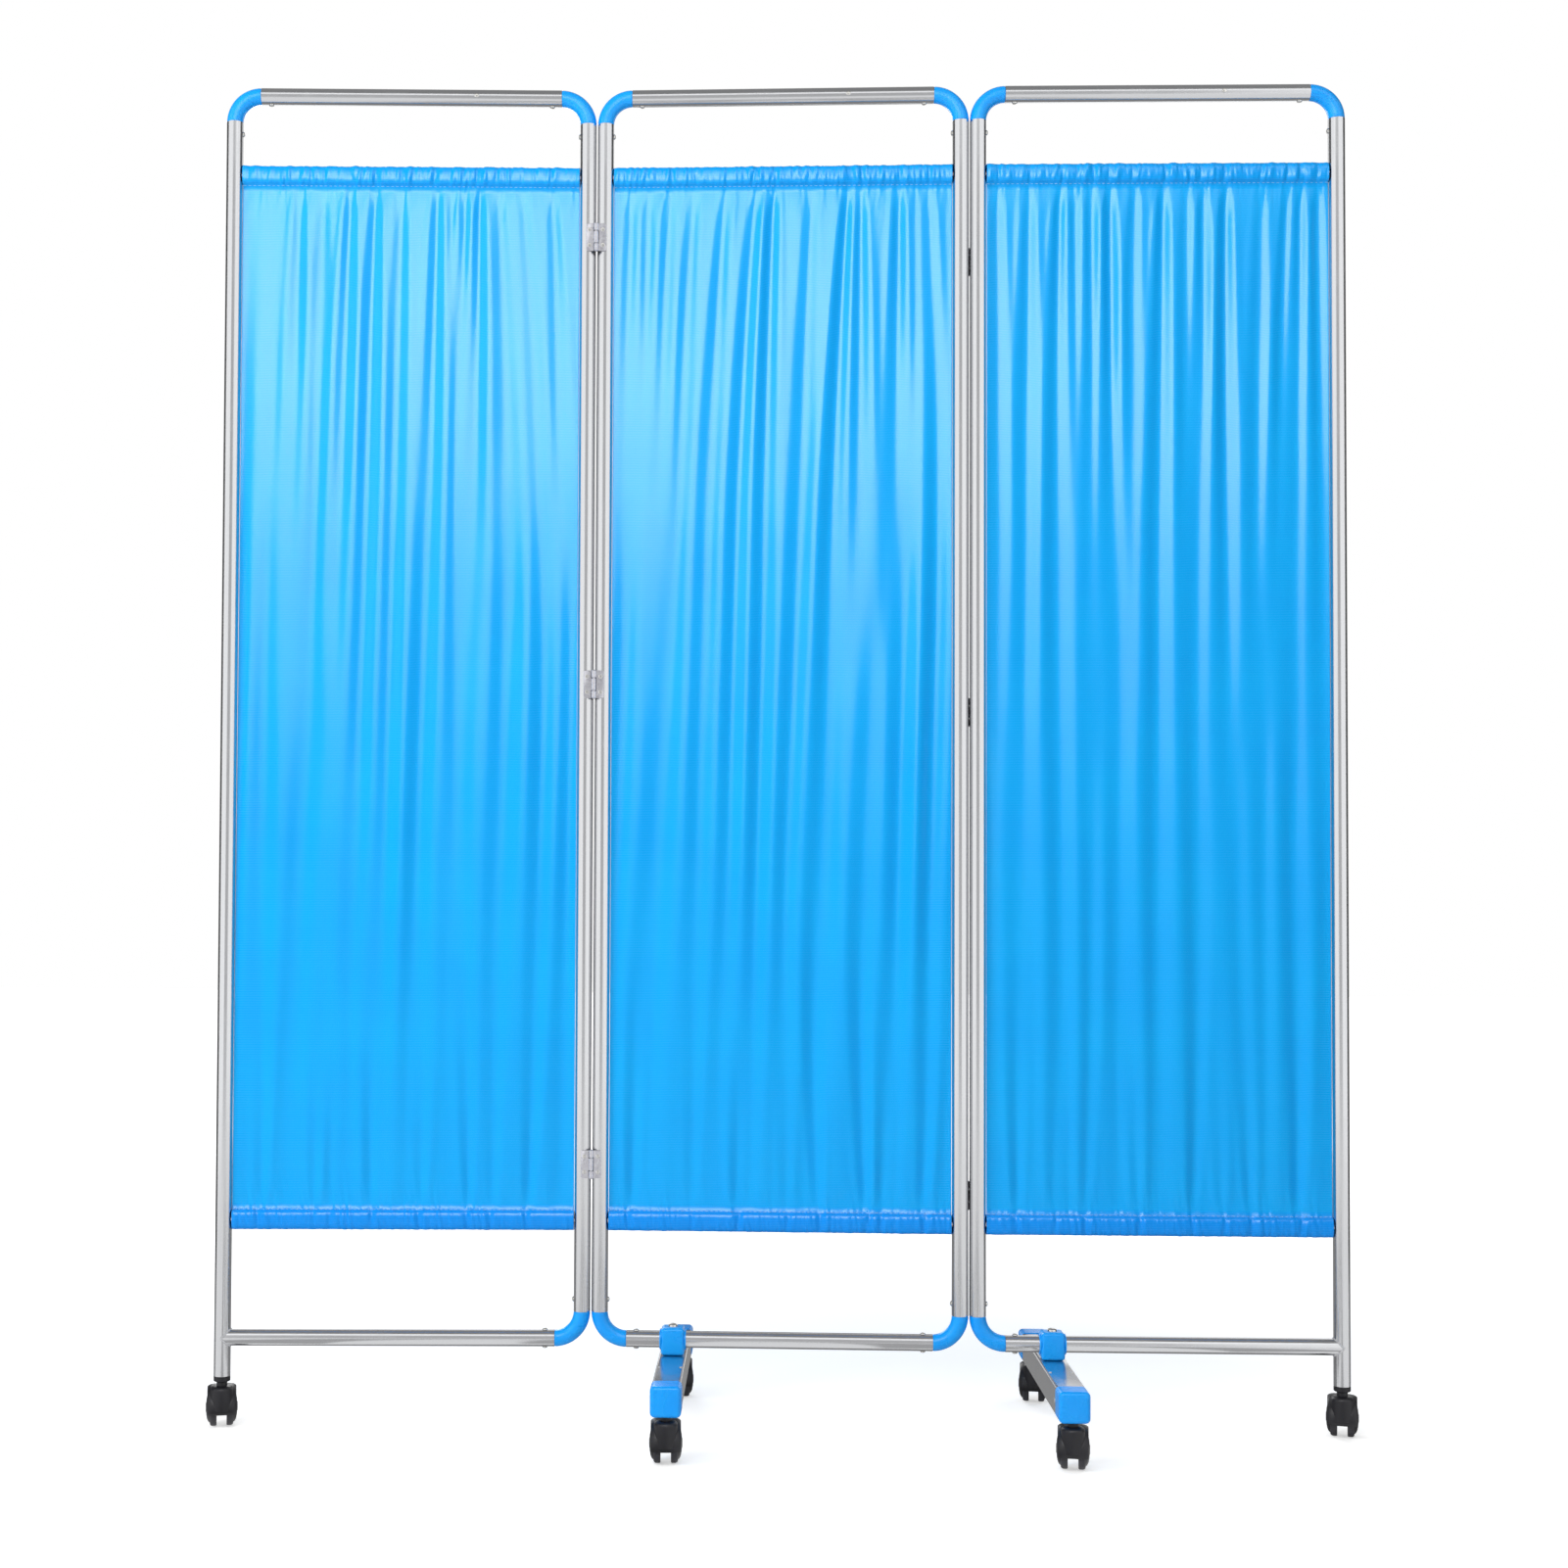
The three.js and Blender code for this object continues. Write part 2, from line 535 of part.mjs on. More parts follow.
function sidePanel(name, outer, hingeShares, restDegrees) {
  const panel = new THREE.Group();
  panel.position.set(outer * hingeReach, -outer * hingeOffset, 0);
  addFrame(panel, name, outer, { [outer]: "outer", [-outer]: "inner" });
  const top = topRailHeight - ELBOW_BEND - FIT_GAP;
  const innerBottom = bottomRailHeight + ELBOW_BEND + FIT_GAP;
  const outerPost = addPiece(panel, `${name}_outer_post`, post(OUTER_POST_BOTTOM, top, -outer), STAINLESS);
  outerPost.position.x = outer * postReach;
  const innerPost = addPiece(panel, `${name}_inner_post`, post(innerBottom, top, outer), STAINLESS);
  innerPost.position.x = -outer * postReach;
  addCurtain(panel, name);
  const socket = addPiece(panel, `${name}_caster_socket`, casterSocket(), BLACK_NYLON);
  socket.position.x = outer * postReach;
  addCaster(panel, `${name}_outer`, outer * postReach, 0);
  const fold = new THREE.Group();
  fold.position.set(outer * hingeReach, outer * hingeOffset, 0);
  fold.rotation.z = THREE.MathUtils.degToRad(restDegrees);
  fold.add(panel);
  HINGE_LEVELS.forEach((level, i) => {
    const leaf = addPiece(fold, `${name}_hinge_leaf_${level}`, pinnedLeaf(), ZINC_PLATE);
    leaf.position.z = hingeShares[i] * SCREEN_HEIGHT;
    leaf.rotation.z = outer > 0 ? Math.PI : 0;
  });
  return fold;
}

const screen = new THREE.Group();
screen.add(middlePanel());
screen.add(sidePanel("left", -1, LEFT_HINGE_SHARES, LEFT_REST_DEGREES));
const rightFold = sidePanel("right", 1, RIGHT_HINGE_SHARES, RIGHT_REST_DEGREES);
addFoot(rightFold.children[0], "right");
screen.add(rightFold);

// The origin is on the floor, under the middle of the standing screen.
const bounds = new THREE.Box3().setFromObject(screen, true);
const centre = bounds.getCenter(new THREE.Vector3());
screen.position.set(-centre.x, -centre.y, -bounds.min.z);

export default screen;
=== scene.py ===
# %% [markdown]
# # A ward privacy screen on wheels
# Three frames of polished stainless tube stand in a row and fold on small steel hinges. Each frame
# holds a blue satin curtain that is shirred on two hidden rods. Blue moulded elbows close the corners,
# and two square cross feet and six black twin-wheel casters carry the screen.
# The CAD model gives every place and size. This script dresses it, piece by piece, in the same frame.

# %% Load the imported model
import json
import math

import bmesh
import bpy
from mathutils import Matrix, Vector, noise

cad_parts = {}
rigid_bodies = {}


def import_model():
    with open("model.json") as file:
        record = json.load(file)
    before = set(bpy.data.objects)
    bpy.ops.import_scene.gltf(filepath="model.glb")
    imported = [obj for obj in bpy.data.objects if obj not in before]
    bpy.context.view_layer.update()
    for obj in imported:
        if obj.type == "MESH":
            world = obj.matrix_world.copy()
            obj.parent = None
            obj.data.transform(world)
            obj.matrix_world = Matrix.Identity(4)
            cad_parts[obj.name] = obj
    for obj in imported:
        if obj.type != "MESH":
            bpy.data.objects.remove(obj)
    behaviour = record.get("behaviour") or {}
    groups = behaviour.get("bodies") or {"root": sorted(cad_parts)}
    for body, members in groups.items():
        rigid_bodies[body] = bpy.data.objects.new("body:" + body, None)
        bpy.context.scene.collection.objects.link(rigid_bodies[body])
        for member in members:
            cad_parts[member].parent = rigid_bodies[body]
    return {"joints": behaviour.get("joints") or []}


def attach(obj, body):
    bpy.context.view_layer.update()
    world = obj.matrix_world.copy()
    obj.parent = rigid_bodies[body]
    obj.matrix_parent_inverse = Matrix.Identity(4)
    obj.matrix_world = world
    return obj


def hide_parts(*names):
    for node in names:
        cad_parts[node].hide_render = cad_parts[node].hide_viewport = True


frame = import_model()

scene = bpy.context.scene
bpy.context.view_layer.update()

# %% [markdown]
# ## Where the panels stand
# Shapes are easiest to draw in millimetres, upright and unturned, as a maker draws them. One matrix for
# each panel then carries them into the row frame. The two fold joints give the hinge lines, and the
# panels lie on either side of these, turned by the small angles at which the screen stands.

# %% Places of the three panels
# A millimetre in metres. Lengths below are in millimetres and turns in degrees, unless a comment says
# otherwise; the studio's cards and lamps are placed in metres.
MM = 0.001
# From a panel's middle to its posts and to its hinge lines, and from its plane to the hinge pins.
POST_REACH = 239
HINGE_REACH = 250.5
HINGE_OFFSET = 13.3
SIDE_OF = {"left": -1, "middle": 0, "right": 1}
REST_TURN = {"left": 3, "middle": 0, "right": 1}

pivot = {joint["name"]: Vector(joint["pos_m"]) for joint in frame["joints"]}
fold_line = {side: Matrix.Translation((*pivot[side + "_fold"].xy, 0)) for side in ("left", "right")}


def placed(x, y, z=0.0):
    return Matrix.Translation(Vector((x, y, z)) * MM)


place = {"middle": fold_line["left"] @ placed(HINGE_REACH, HINGE_OFFSET)}
for side in ("left", "right"):
    turn = Matrix.Rotation(math.radians(REST_TURN[side]), 4, "Z")
    outwards = SIDE_OF[side]
    place[side] = fold_line[side] @ turn @ placed(outwards * HINGE_REACH, -outwards * HINGE_OFFSET)
print("Panel centres (mm):", {name: [round(v / MM, 1) for v in m.translation] for name, m in place.items()})

# %% [markdown]
# ## The camera
# The photograph was taken from about three metres, a little below the middle of the screen. Its edges
# and feet were measured against this model, which gave the camera's place, its turn and its angle of
# view for the 1601 by 1601 picture.

# %% Camera
PICTURE_WIDTH = 1601
FOCAL_PIXELS = 2122.2
# In metres.
CAMERA_PLACE = (-0.0065, -2.7973, 0.7149)
CAMERA_YAW, CAMERA_PITCH, CAMERA_ROLL = 2.515, 1.635, -0.249
# The photograph is cropped a little off its lens's middle.
SHIFT_PIXELS = (101.6, 50.0)

camera_data = bpy.data.cameras.new("Camera")
camera_data.sensor_fit = "HORIZONTAL"
camera_data.angle = 2 * math.atan(PICTURE_WIDTH / 2 / FOCAL_PIXELS)
camera_data.shift_x, camera_data.shift_y = [shift / PICTURE_WIDTH for shift in SHIFT_PIXELS]
camera = bpy.data.objects.new("Camera", camera_data)
scene.collection.objects.link(camera)
camera.matrix_world = (
    Matrix.Translation(CAMERA_PLACE)
    @ Matrix.Rotation(math.radians(CAMERA_YAW), 4, "Z")
    @ Matrix.Rotation(math.radians(90 + CAMERA_PITCH), 4, "X")
    @ Matrix.Rotation(math.radians(-CAMERA_ROLL), 4, "Z")
)
scene.camera = camera
print("Angle of view:", round(math.degrees(camera_data.angle), 2))

# %% [markdown]
# ## Tools for shaders and node trees
# A colour is written as the sRGB hex value that an eye or a paint chart gives, and one function turns
# it to the linear light that the renderer adds up. One more function adds any node, sets its options,
# and links or fills its sockets, so every tree below reads from top to bottom like a recipe. The last
# helper brings a recipe's colour, roughness and relief to the shader.

# %% Colours and nodes
def linear(hex_colour):
    channels = [int(hex_colour[i:i + 2], 16) / 255 for i in (1, 3, 5)]
    return (*[c / 12.92 if c <= 0.04045 else ((c + 0.055) / 1.055) ** 2.4 for c in channels], 1.0)


def add(tree, kind, sockets=None, **options):
    node = tree.nodes.new(kind)
    for option, value in options.items():
        setattr(node, option, value)
    for key, value in (sockets or {}).items():
        if isinstance(value, bpy.types.NodeSocket):
            tree.links.new(value, node.inputs[key])
        else:
            node.inputs[key].default_value = value
    return node


def new_material(name, **constants):
    material = bpy.data.materials.new(name)
    material.use_nodes = True
    shader = material.node_tree.nodes["Principled BSDF"]
    for socket, value in constants.items():
        shader.inputs[socket.replace("_", " ")].default_value = value
    return material, material.node_tree, shader


# ShaderNodeMix keeps one set of sockets for each kind of value; these are the colour ones.
MIX_A, MIX_B, MIX_RESULT = 6, 7, 2


def coat(tree, shader, colour, rough, relief=None):
    tree.links.new(colour.outputs[MIX_RESULT], shader.inputs["Base Color"])
    tree.links.new(rough.outputs[0], shader.inputs["Roughness"])
    if relief:
        tree.links.new(relief.outputs[0], shader.inputs["Normal"])


# A Wave texture's bands repeat every 2 pi / 20 units at a scale of 1.
WAVE_UNIT = 2 * math.pi / 20

# %% [markdown]
# ## Finish: polished stainless steel
# The posts, rails and foot bars are welded 304 stainless tube, polished lengthwise with a fine belt.
# That leaves a bright mirror which is blurred a little, with hairlines that run along the tube. The
# lines follow an attribute named grain, in millimetres, whose Z runs along each piece. The real lines
# are some hundredths of a millimetre apart, so they are drawn coarser, at 0.7 mm, to show at all.

# %% Stainless steel
HAIRLINE_MM = 0.7
HAIRLINE_LENGTH_MM = 400
SMUDGE_MM = 34

steel, tree, shader = new_material("Polished stainless steel tube", Metallic=1.0)
grain = add(tree, "ShaderNodeAttribute", attribute_name="grain")
along = add(tree, "ShaderNodeMapping", {
    "Vector": grain.outputs["Vector"],
    "Scale": (1 / HAIRLINE_MM, 1 / HAIRLINE_MM, 1 / HAIRLINE_LENGTH_MM),
})
lines = add(tree, "ShaderNodeTexNoise", {"Vector": along.outputs[0], "Scale": 1.0, "Detail": 4.0})
smudges = add(tree, "ShaderNodeTexNoise", {
    "Vector": grain.outputs["Vector"], "Scale": 1 / SMUDGE_MM, "Detail": 3.0,
})
tint = add(tree, "ShaderNodeMix", {
    0: lines.outputs["Fac"], MIX_A: linear("#c8c9cc"), MIX_B: linear("#d6d7d9"),
}, data_type="RGBA")
polish = add(tree, "ShaderNodeMapRange", {"Value": lines.outputs["Fac"], "To Min": 0.15, "To Max": 0.21})
handled = add(tree, "ShaderNodeMapRange", {
    "Value": smudges.outputs["Fac"], "From Min": 0.5, "From Max": 0.75, "To Min": 0.0, "To Max": 0.07,
})
rough = add(tree, "ShaderNodeMath", {0: polish.outputs[0], 1: handled.outputs[0]}, operation="ADD")
relief = add(tree, "ShaderNodeBump", {
    "Height": lines.outputs["Fac"], "Strength": 0.04, "Distance": 0.00004,
})
coat(tree, shader, tint, rough, relief)
print("Made", steel.name)

# %% [markdown]
# ## Finish: zinc-plated and nickel-plated steel
# The rods and hinges are pressed mild steel with a bright zinc plate: a soft grey metal whose faint
# crystals vary from patch to patch. The screws, rivets and bolts are nickel-plated and brighter.

# %% Plated steel
CRYSTAL_MM = 3.5
SCUFF_MM = 1.5

zinc, tree, shader = new_material("Bright zinc-plated pressed steel", Metallic=1.0)
where = add(tree, "ShaderNodeTexCoord")
crystals = add(tree, "ShaderNodeTexVoronoi", {
    "Vector": where.outputs["Object"], "Scale": 1 / (CRYSTAL_MM * MM), "Randomness": 1.0,
})
patch = add(tree, "ShaderNodeSeparateColor", {"Color": crystals.outputs["Color"]})
tint = add(tree, "ShaderNodeMix", {
    0: patch.outputs[0], MIX_A: linear("#c6c5cd"), MIX_B: linear("#d4d4da"),
}, data_type="RGBA")
rough = add(tree, "ShaderNodeMapRange", {"Value": patch.outputs[1], "To Min": 0.22, "To Max": 0.34})
relief = add(tree, "ShaderNodeBump", {
    "Height": crystals.outputs["Distance"], "Strength": 0.03, "Distance": 0.00005,
})
coat(tree, shader, tint, rough, relief)

nickel, tree, shader = new_material("Nickel-plated fastener steel", Metallic=1.0)
where = add(tree, "ShaderNodeTexCoord")
scuffs = add(tree, "ShaderNodeTexNoise", {
    "Vector": where.outputs["Object"], "Scale": 1 / (SCUFF_MM * MM), "Detail": 4.0,
})
tint = add(tree, "ShaderNodeMix", {
    0: scuffs.outputs["Fac"], MIX_A: linear("#c9c8c4"), MIX_B: linear("#e6e5e2"),
}, data_type="RGBA")
rough = add(tree, "ShaderNodeMapRange", {"Value": scuffs.outputs["Fac"], "To Min": 0.1, "To Max": 0.26})
coat(tree, shader, tint, rough)
print("Made", zinc.name, "and", nickel.name)

# %% [markdown]
# ## Finish: moulded blue plastic
# The elbows, clamps and foot caps are injection-moulded ABS in one strong blue. A polished mould gives
# a glossy skin with a very slight orange peel of about 1.6 mm, and the colour flows a shade lighter and
# darker through a moulding.

# %% Blue plastic
PEEL_MM = 1.6
FLOW_MM = 28

blue_plastic, tree, shader = new_material("Injection-moulded blue ABS", Specular_IOR_Level=0.35)
where = add(tree, "ShaderNodeTexCoord")
flow = add(tree, "ShaderNodeTexNoise", {
    "Vector": where.outputs["Object"], "Scale": 1 / (FLOW_MM * MM), "Detail": 2.0, "Distortion": 0.6,
})
peel = add(tree, "ShaderNodeTexNoise", {
    "Vector": where.outputs["Object"], "Scale": 1 / (PEEL_MM * MM), "Detail": 2.0,
})
tint = add(tree, "ShaderNodeMix", {
    0: flow.outputs["Fac"], MIX_A: linear("#0099fa"), MIX_B: linear("#00aaff"),
}, data_type="RGBA")
rough = add(tree, "ShaderNodeMapRange", {"Value": flow.outputs["Fac"], "To Min": 0.22, "To Max": 0.32})
relief = add(tree, "ShaderNodeBump", {
    "Height": peel.outputs["Fac"], "Strength": 0.14, "Distance": 0.00008,
})
coat(tree, shader, tint, rough, relief)
print("Made", blue_plastic.name)

# %% [markdown]
# ## Finish: black nylon and grey tyre
# The casters are moulded glass-filled nylon from a spark-eroded mould, so they are an even satin black
# with a fine grain. The treads are a softer, greyer polyurethane that picks up dust.

# %% Caster plastics
SPARK_GRAIN_MM = 0.5
WEAR_MM = 11
DUST_MM = 7

black_nylon, tree, shader = new_material("Moulded black nylon", Specular_IOR_Level=0.4)
where = add(tree, "ShaderNodeTexCoord")
spark = add(tree, "ShaderNodeTexNoise", {
    "Vector": where.outputs["Object"], "Scale": 1 / (SPARK_GRAIN_MM * MM), "Detail": 2.0,
})
wear = add(tree, "ShaderNodeTexNoise", {
    "Vector": where.outputs["Object"], "Scale": 1 / (WEAR_MM * MM), "Detail": 4.0,
})
tint = add(tree, "ShaderNodeMix", {
    0: wear.outputs["Fac"], MIX_A: linear("#0d0d11"), MIX_B: linear("#1b1a21"),
}, data_type="RGBA")
rough = add(tree, "ShaderNodeMapRange", {"Value": wear.outputs["Fac"], "To Min": 0.34, "To Max": 0.48})
relief = add(tree, "ShaderNodeBump", {
    "Height": spark.outputs["Fac"], "Strength": 0.25, "Distance": 0.00006,
})
coat(tree, shader, tint, rough, relief)

tread_rubber, tree, shader = new_material("Grey polyurethane tread", Specular_IOR_Level=0.35)
where = add(tree, "ShaderNodeTexCoord")
dust = add(tree, "ShaderNodeTexNoise", {
    "Vector": where.outputs["Object"], "Scale": 1 / (DUST_MM * MM), "Detail": 5.0,
})
tint = add(tree, "ShaderNodeMix", {
    0: dust.outputs["Fac"], MIX_A: linear("#29282d"), MIX_B: linear("#444348"),
}, data_type="RGBA")
rough = add(tree, "ShaderNodeMapRange", {"Value": dust.outputs["Fac"], "To Min": 0.5, "To Max": 0.75})
coat(tree, shader, tint, rough)
print("Made", black_nylon.name, "and", tread_rubber.name)

# %% [markdown]
# ## Finish: blue polyester satin
# The curtains are a thin satin-weave polyester. Its long floating threads give a broad pale sheen where
# a light is mirrored, and a deep pure blue elsewhere. The colour wanders a little, as dyed cloth does.
# The threads are some 0.15 mm apart, too fine to show, so the weave is drawn at 1.1 mm. Where the cloth
# is doubled round a rod, less light comes through it, and that shade is painted in as a deeper blue: the
# third number of the cloth's own coordinates says by what share.

# %% Satin
THREAD_MM = 1.1
# The weft shows half as fine as the warp that floats over it.
WEFT_PER_WARP = 2
DYE_MM = 130
# A slub is a thicker place in a warp thread: its width and length.
SLUB_MM = (1.6, 45)
PLY_MM = 0.6

satin, tree, shader = new_material("Blue polyester satin", Specular_IOR_Level=0.8)
cloth = add(tree, "ShaderNodeAttribute", attribute_name="cloth_mm")
dye = add(tree, "ShaderNodeTexNoise", {
    "Vector": cloth.outputs["Vector"], "Scale": 1 / DYE_MM, "Detail": 3.0,
})
slubs = add(tree, "ShaderNodeMapping", {
    "Vector": cloth.outputs["Vector"], "Scale": (1 / SLUB_MM[0], 1 / SLUB_MM[1], 1),
})
threads = add(tree, "ShaderNodeTexNoise", {"Vector": slubs.outputs[0], "Scale": 1.0, "Detail": 2.0})
warp = add(tree, "ShaderNodeTexWave", {
    "Vector": cloth.outputs["Vector"], "Scale": WAVE_UNIT / THREAD_MM, "Distortion": 0.4,
}, bands_direction="X")
weft = add(tree, "ShaderNodeTexWave", {
    "Vector": cloth.outputs["Vector"], "Scale": WAVE_UNIT / THREAD_MM / WEFT_PER_WARP, "Distortion": 0.4,
}, bands_direction="Y")
weave = add(tree, "ShaderNodeMath", {0: warp.outputs["Fac"], 1: weft.outputs["Fac"]}, operation="MULTIPLY")
dyed = add(tree, "ShaderNodeMix", {
    0: dye.outputs["Fac"], MIX_A: linear("#00abff"), MIX_B: linear("#00baff"),
}, data_type="RGBA")
slubbed = add(tree, "ShaderNodeMapRange", {"Value": threads.outputs["Fac"], "To Min": 0.0, "To Max": 0.3})
tint = add(tree, "ShaderNodeMix", {
    0: slubbed.outputs[0], MIX_A: dyed.outputs[MIX_RESULT], MIX_B: linear("#009ffc"),
}, data_type="RGBA")
split_cloth_and_shade = add(tree, "ShaderNodeSeparateXYZ", {0: cloth.outputs["Vector"]})
# Painted shade: a deeper blue where the cloth is doubled, for the light that does not come through two
# layers.
doubled_painted_shade = add(tree, "ShaderNodeMix", {
    0: split_cloth_and_shade.outputs["Z"], MIX_A: tint.outputs[MIX_RESULT], MIX_B: linear("#0092f8"),
}, data_type="RGBA")
rough = add(tree, "ShaderNodeMapRange", {"Value": weave.outputs[0], "To Min": 0.25, "To Max": 0.31})
relief = add(tree, "ShaderNodeBump", {"Height": weave.outputs[0], "Strength": 0.1, "Distance": 0.0001})
coat(tree, shader, doubled_painted_shade, rough, relief)

thread_white, tree, shader = new_material("Pale polyester sewing thread", Sheen_Weight=0.3)
where = add(tree, "ShaderNodeTexCoord")
ply = add(tree, "ShaderNodeTexNoise", {
    "Vector": where.outputs["Object"], "Scale": 1 / (PLY_MM * MM), "Detail": 1.0,
})
tint = add(tree, "ShaderNodeMix", {
    0: ply.outputs["Fac"], MIX_A: linear("#5ab4ee"), MIX_B: linear("#b4e2fb"),
}, data_type="RGBA")
rough = add(tree, "ShaderNodeMapRange", {"Value": ply.outputs["Fac"], "To Min": 0.45, "To Max": 0.65})
coat(tree, shader, tint, rough)
print("Made", satin.name, "and", thread_white.name)

# %% [markdown]
# ## Tools for shapes
# Nearly every piece here is a skin over rows of points: a ring moved along a path, or a profile turned
# about an axis. add_rows makes that skin, and mesh_from welds its doubles, turns its faces outwards,
# moves it to its place and marks only the true corners sharp, so round parts shade smoothly.

# %% Skins and turned shapes
SHARP_DEGREES = 38
WELD_WITHIN = 0.0005


def add_rows(shape, rows, at=Matrix.Identity(4), ring=True, caps=True, loop=False):
    made = [[shape.verts.new(at @ Vector(point)) for point in row] for row in rows]
    following = made[1:] + (made[:1] if loop else [])
    for low, high in zip(made, following):
        count = len(low)
        for i in range(count if ring else count - 1):
            j = (i + 1) % count
            shape.faces.new((low[i], low[j], high[j], high[i]))
    if ring and caps and not loop:
        shape.faces.new(made[0][::-1])
        shape.faces.new(made[-1])


def turned(shape, profile, axis="z", sides=48, at=Matrix.Identity(4), loop=False):
    rows = []
    for radius, along_axis in profile:
        row = []
        for i in range(sides):
            angle = 2 * math.pi * i / sides
            across, up = radius * math.cos(angle), radius * math.sin(angle)
            row.append({
                "x": (along_axis, across, up), "y": (up, along_axis, across), "z": (across, up, along_axis),
            }[axis])
        rows.append(row)
    add_rows(shape, rows, at, caps=not loop, loop=loop)


def mesh_from(shape, matrix, sharp=SHARP_DEGREES):
    bmesh.ops.remove_doubles(shape, verts=shape.verts, dist=WELD_WITHIN)
    bmesh.ops.dissolve_degenerate(shape, dist=WELD_WITHIN, edges=shape.edges)
    bmesh.ops.recalc_face_normals(shape, faces=shape.faces)
    mesh = bpy.data.meshes.new("shape")
    shape.to_mesh(mesh)
    shape.free()
    mesh.transform(matrix @ Matrix.Scale(MM, 4))
    mesh.shade_smooth()
    mesh.set_sharp_from_angle(angle=math.radians(sharp))
    return mesh


def linked(name, mesh):
    made = bpy.data.objects.new(name, mesh)
    scene.collection.objects.link(made)
    return made


def settled(holder):
    """The object's mesh with its modifiers applied; the object itself goes."""
    graph = bpy.context.evaluated_depsgraph_get()
    mesh = bpy.data.meshes.new_from_object(holder.evaluated_get(graph))
    bpy.data.objects.remove(holder)
    return mesh


# %% [markdown]
# A finished piece gets its material and the body that it rides on, and hides the CAD nodes that it stands
# for. Steel pieces also get their grain: each point's place in its own panel, in millimetres, with Z along
# the piece.

# %% Finished pieces
GRAIN_ORDER = {"x": (1, 2, 0), "y": (2, 0, 1), "z": (0, 1, 2)}
piece_count = {}


def with_grain(mesh, matrix, axis):
    inverse = (matrix @ Matrix.Scale(MM, 4)).inverted()
    if "grain" in mesh.attributes:
        mesh.attributes.remove(mesh.attributes["grain"])
    values = mesh.attributes.new("grain", "FLOAT_VECTOR", "POINT")
    for vertex in mesh.vertices:
        local = inverse @ vertex.co
        values.data[vertex.index].vector = [local[i] for i in GRAIN_ORDER[axis]]
    return mesh


def finish_piece(name, mesh, material, body, replaced=()):
    mesh.name = name
    mesh.materials.clear()
    mesh.materials.append(material)
    made = linked(name, mesh)
    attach(made, body)
    if replaced:
        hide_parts(*replaced)
    piece_count[body] = piece_count.get(body, 0) + 1
    return made


# %% [markdown]
# ## Geometry Nodes: a tube along a path
# A tube is the same ring all along a path, which is just what Curve to Mesh does. The path comes in as
# a line of vertices. The result is an open skin, and a Solidify modifier then gives it the real wall.

# %% Tube tree
def new_tree(name, inputs):
    tree = bpy.data.node_groups.new(name, "GeometryNodeTree")
    tree.interface.new_socket("Geometry", in_out="INPUT", socket_type="NodeSocketGeometry")
    for label, kind, default in inputs:
        socket = tree.interface.new_socket(label, in_out="INPUT", socket_type="NodeSocket" + kind)
        if default is not None:
            socket.default_value = default
    tree.interface.new_socket("Geometry", in_out="OUTPUT", socket_type="NodeSocketGeometry")
    return tree, add(tree, "NodeGroupInput")


def end_tree(tree, geometry, material):
    real = add(tree, "GeometryNodeRealizeInstances", {"Geometry": geometry})
    coated = add(tree, "GeometryNodeSetMaterial", {"Geometry": real.outputs[0], "Material": material})
    add(tree, "NodeGroupOutput", {"Geometry": coated.outputs[0]})


def grown(tree, base, **values):
    """Runs the tree on a base mesh and returns the result as a plain mesh."""
    holder = linked("base", base)
    modifier = holder.modifiers.new(tree.name, "NODES")
    modifier.node_group = tree
    for item in tree.interface.items_tree:
        if item.in_out == "INPUT" and item.name.replace(" ", "_") in values:
            modifier[item.identifier] = values[item.name.replace(" ", "_")]
    return settled(holder)


tube_tree, given = new_tree("Tube along a path", [
    ("Radius", "Float", 0.011), ("Sides", "Int", 64), ("Material", "Material", None),
])
path = add(tube_tree, "GeometryNodeMeshToCurve", {"Mesh": given.outputs["Geometry"]})
ring = add(tube_tree, "GeometryNodeCurvePrimitiveCircle", {
    "Resolution": given.outputs["Sides"], "Radius": given.outputs["Radius"],
})
skin = add(tube_tree, "GeometryNodeCurveToMesh", {
    "Curve": path.outputs[0], "Profile Curve": ring.outputs[0],
})
smooth = add(tube_tree, "GeometryNodeSetShadeSmooth", {"Geometry": skin.outputs[0]})
end_tree(tube_tree, smooth.outputs[0], given.outputs["Material"])


def line_mesh(points, matrix, closed=False):
    mesh = bpy.data.meshes.new("line")
    edges = [(i, i + 1) for i in range(len(points) - 1)]
    if closed:
        edges.append((len(points) - 1, 0))
    mesh.from_pydata([matrix @ (Vector(point) * MM) for point in points], edges, [])
    return mesh


# %% [markdown]
# A real tube has a wall, and drilled or coped ones have openings in it. Solidify gives the wall, and a
# Boolean modifier takes out each opening with a turned cutter, as a drill or a hole saw would.

# %% Tubes with a wall, and cuts in them
TUBE_RADIUS = 11
TUBE_WALL = 1
TUBE_SIDES = 64


def tube(points, matrix, material, radius=TUBE_RADIUS, wall=TUBE_WALL, sides=TUBE_SIDES, cutters=()):
    skin_mesh = grown(
        tube_tree, line_mesh(points, matrix), Radius=radius * MM, Sides=sides, Material=material
    )
    holder = linked("tube", skin_mesh)
    solidify = holder.modifiers.new("Wall", "SOLIDIFY")
    solidify.thickness = wall * MM
    solidify.offset = -1
    for cutter in cutters:
        boolean = holder.modifiers.new("Cut", "BOOLEAN")
        boolean.operation = "DIFFERENCE"
        boolean.solver = "EXACT"
        boolean.object = cutter
    mesh = settled(holder)
    mesh.shade_smooth()
    mesh.set_sharp_from_angle(angle=math.radians(SHARP_DEGREES))
    for cutter in cutters:
        bpy.data.objects.remove(cutter)
    return mesh


def drill(axis, radius, start, end, matrix):
    shape = bmesh.new()
    turned(shape, [(radius, start), (radius, end)], axis, TUBE_SIDES)
    return linked("cutter", mesh_from(shape, matrix))


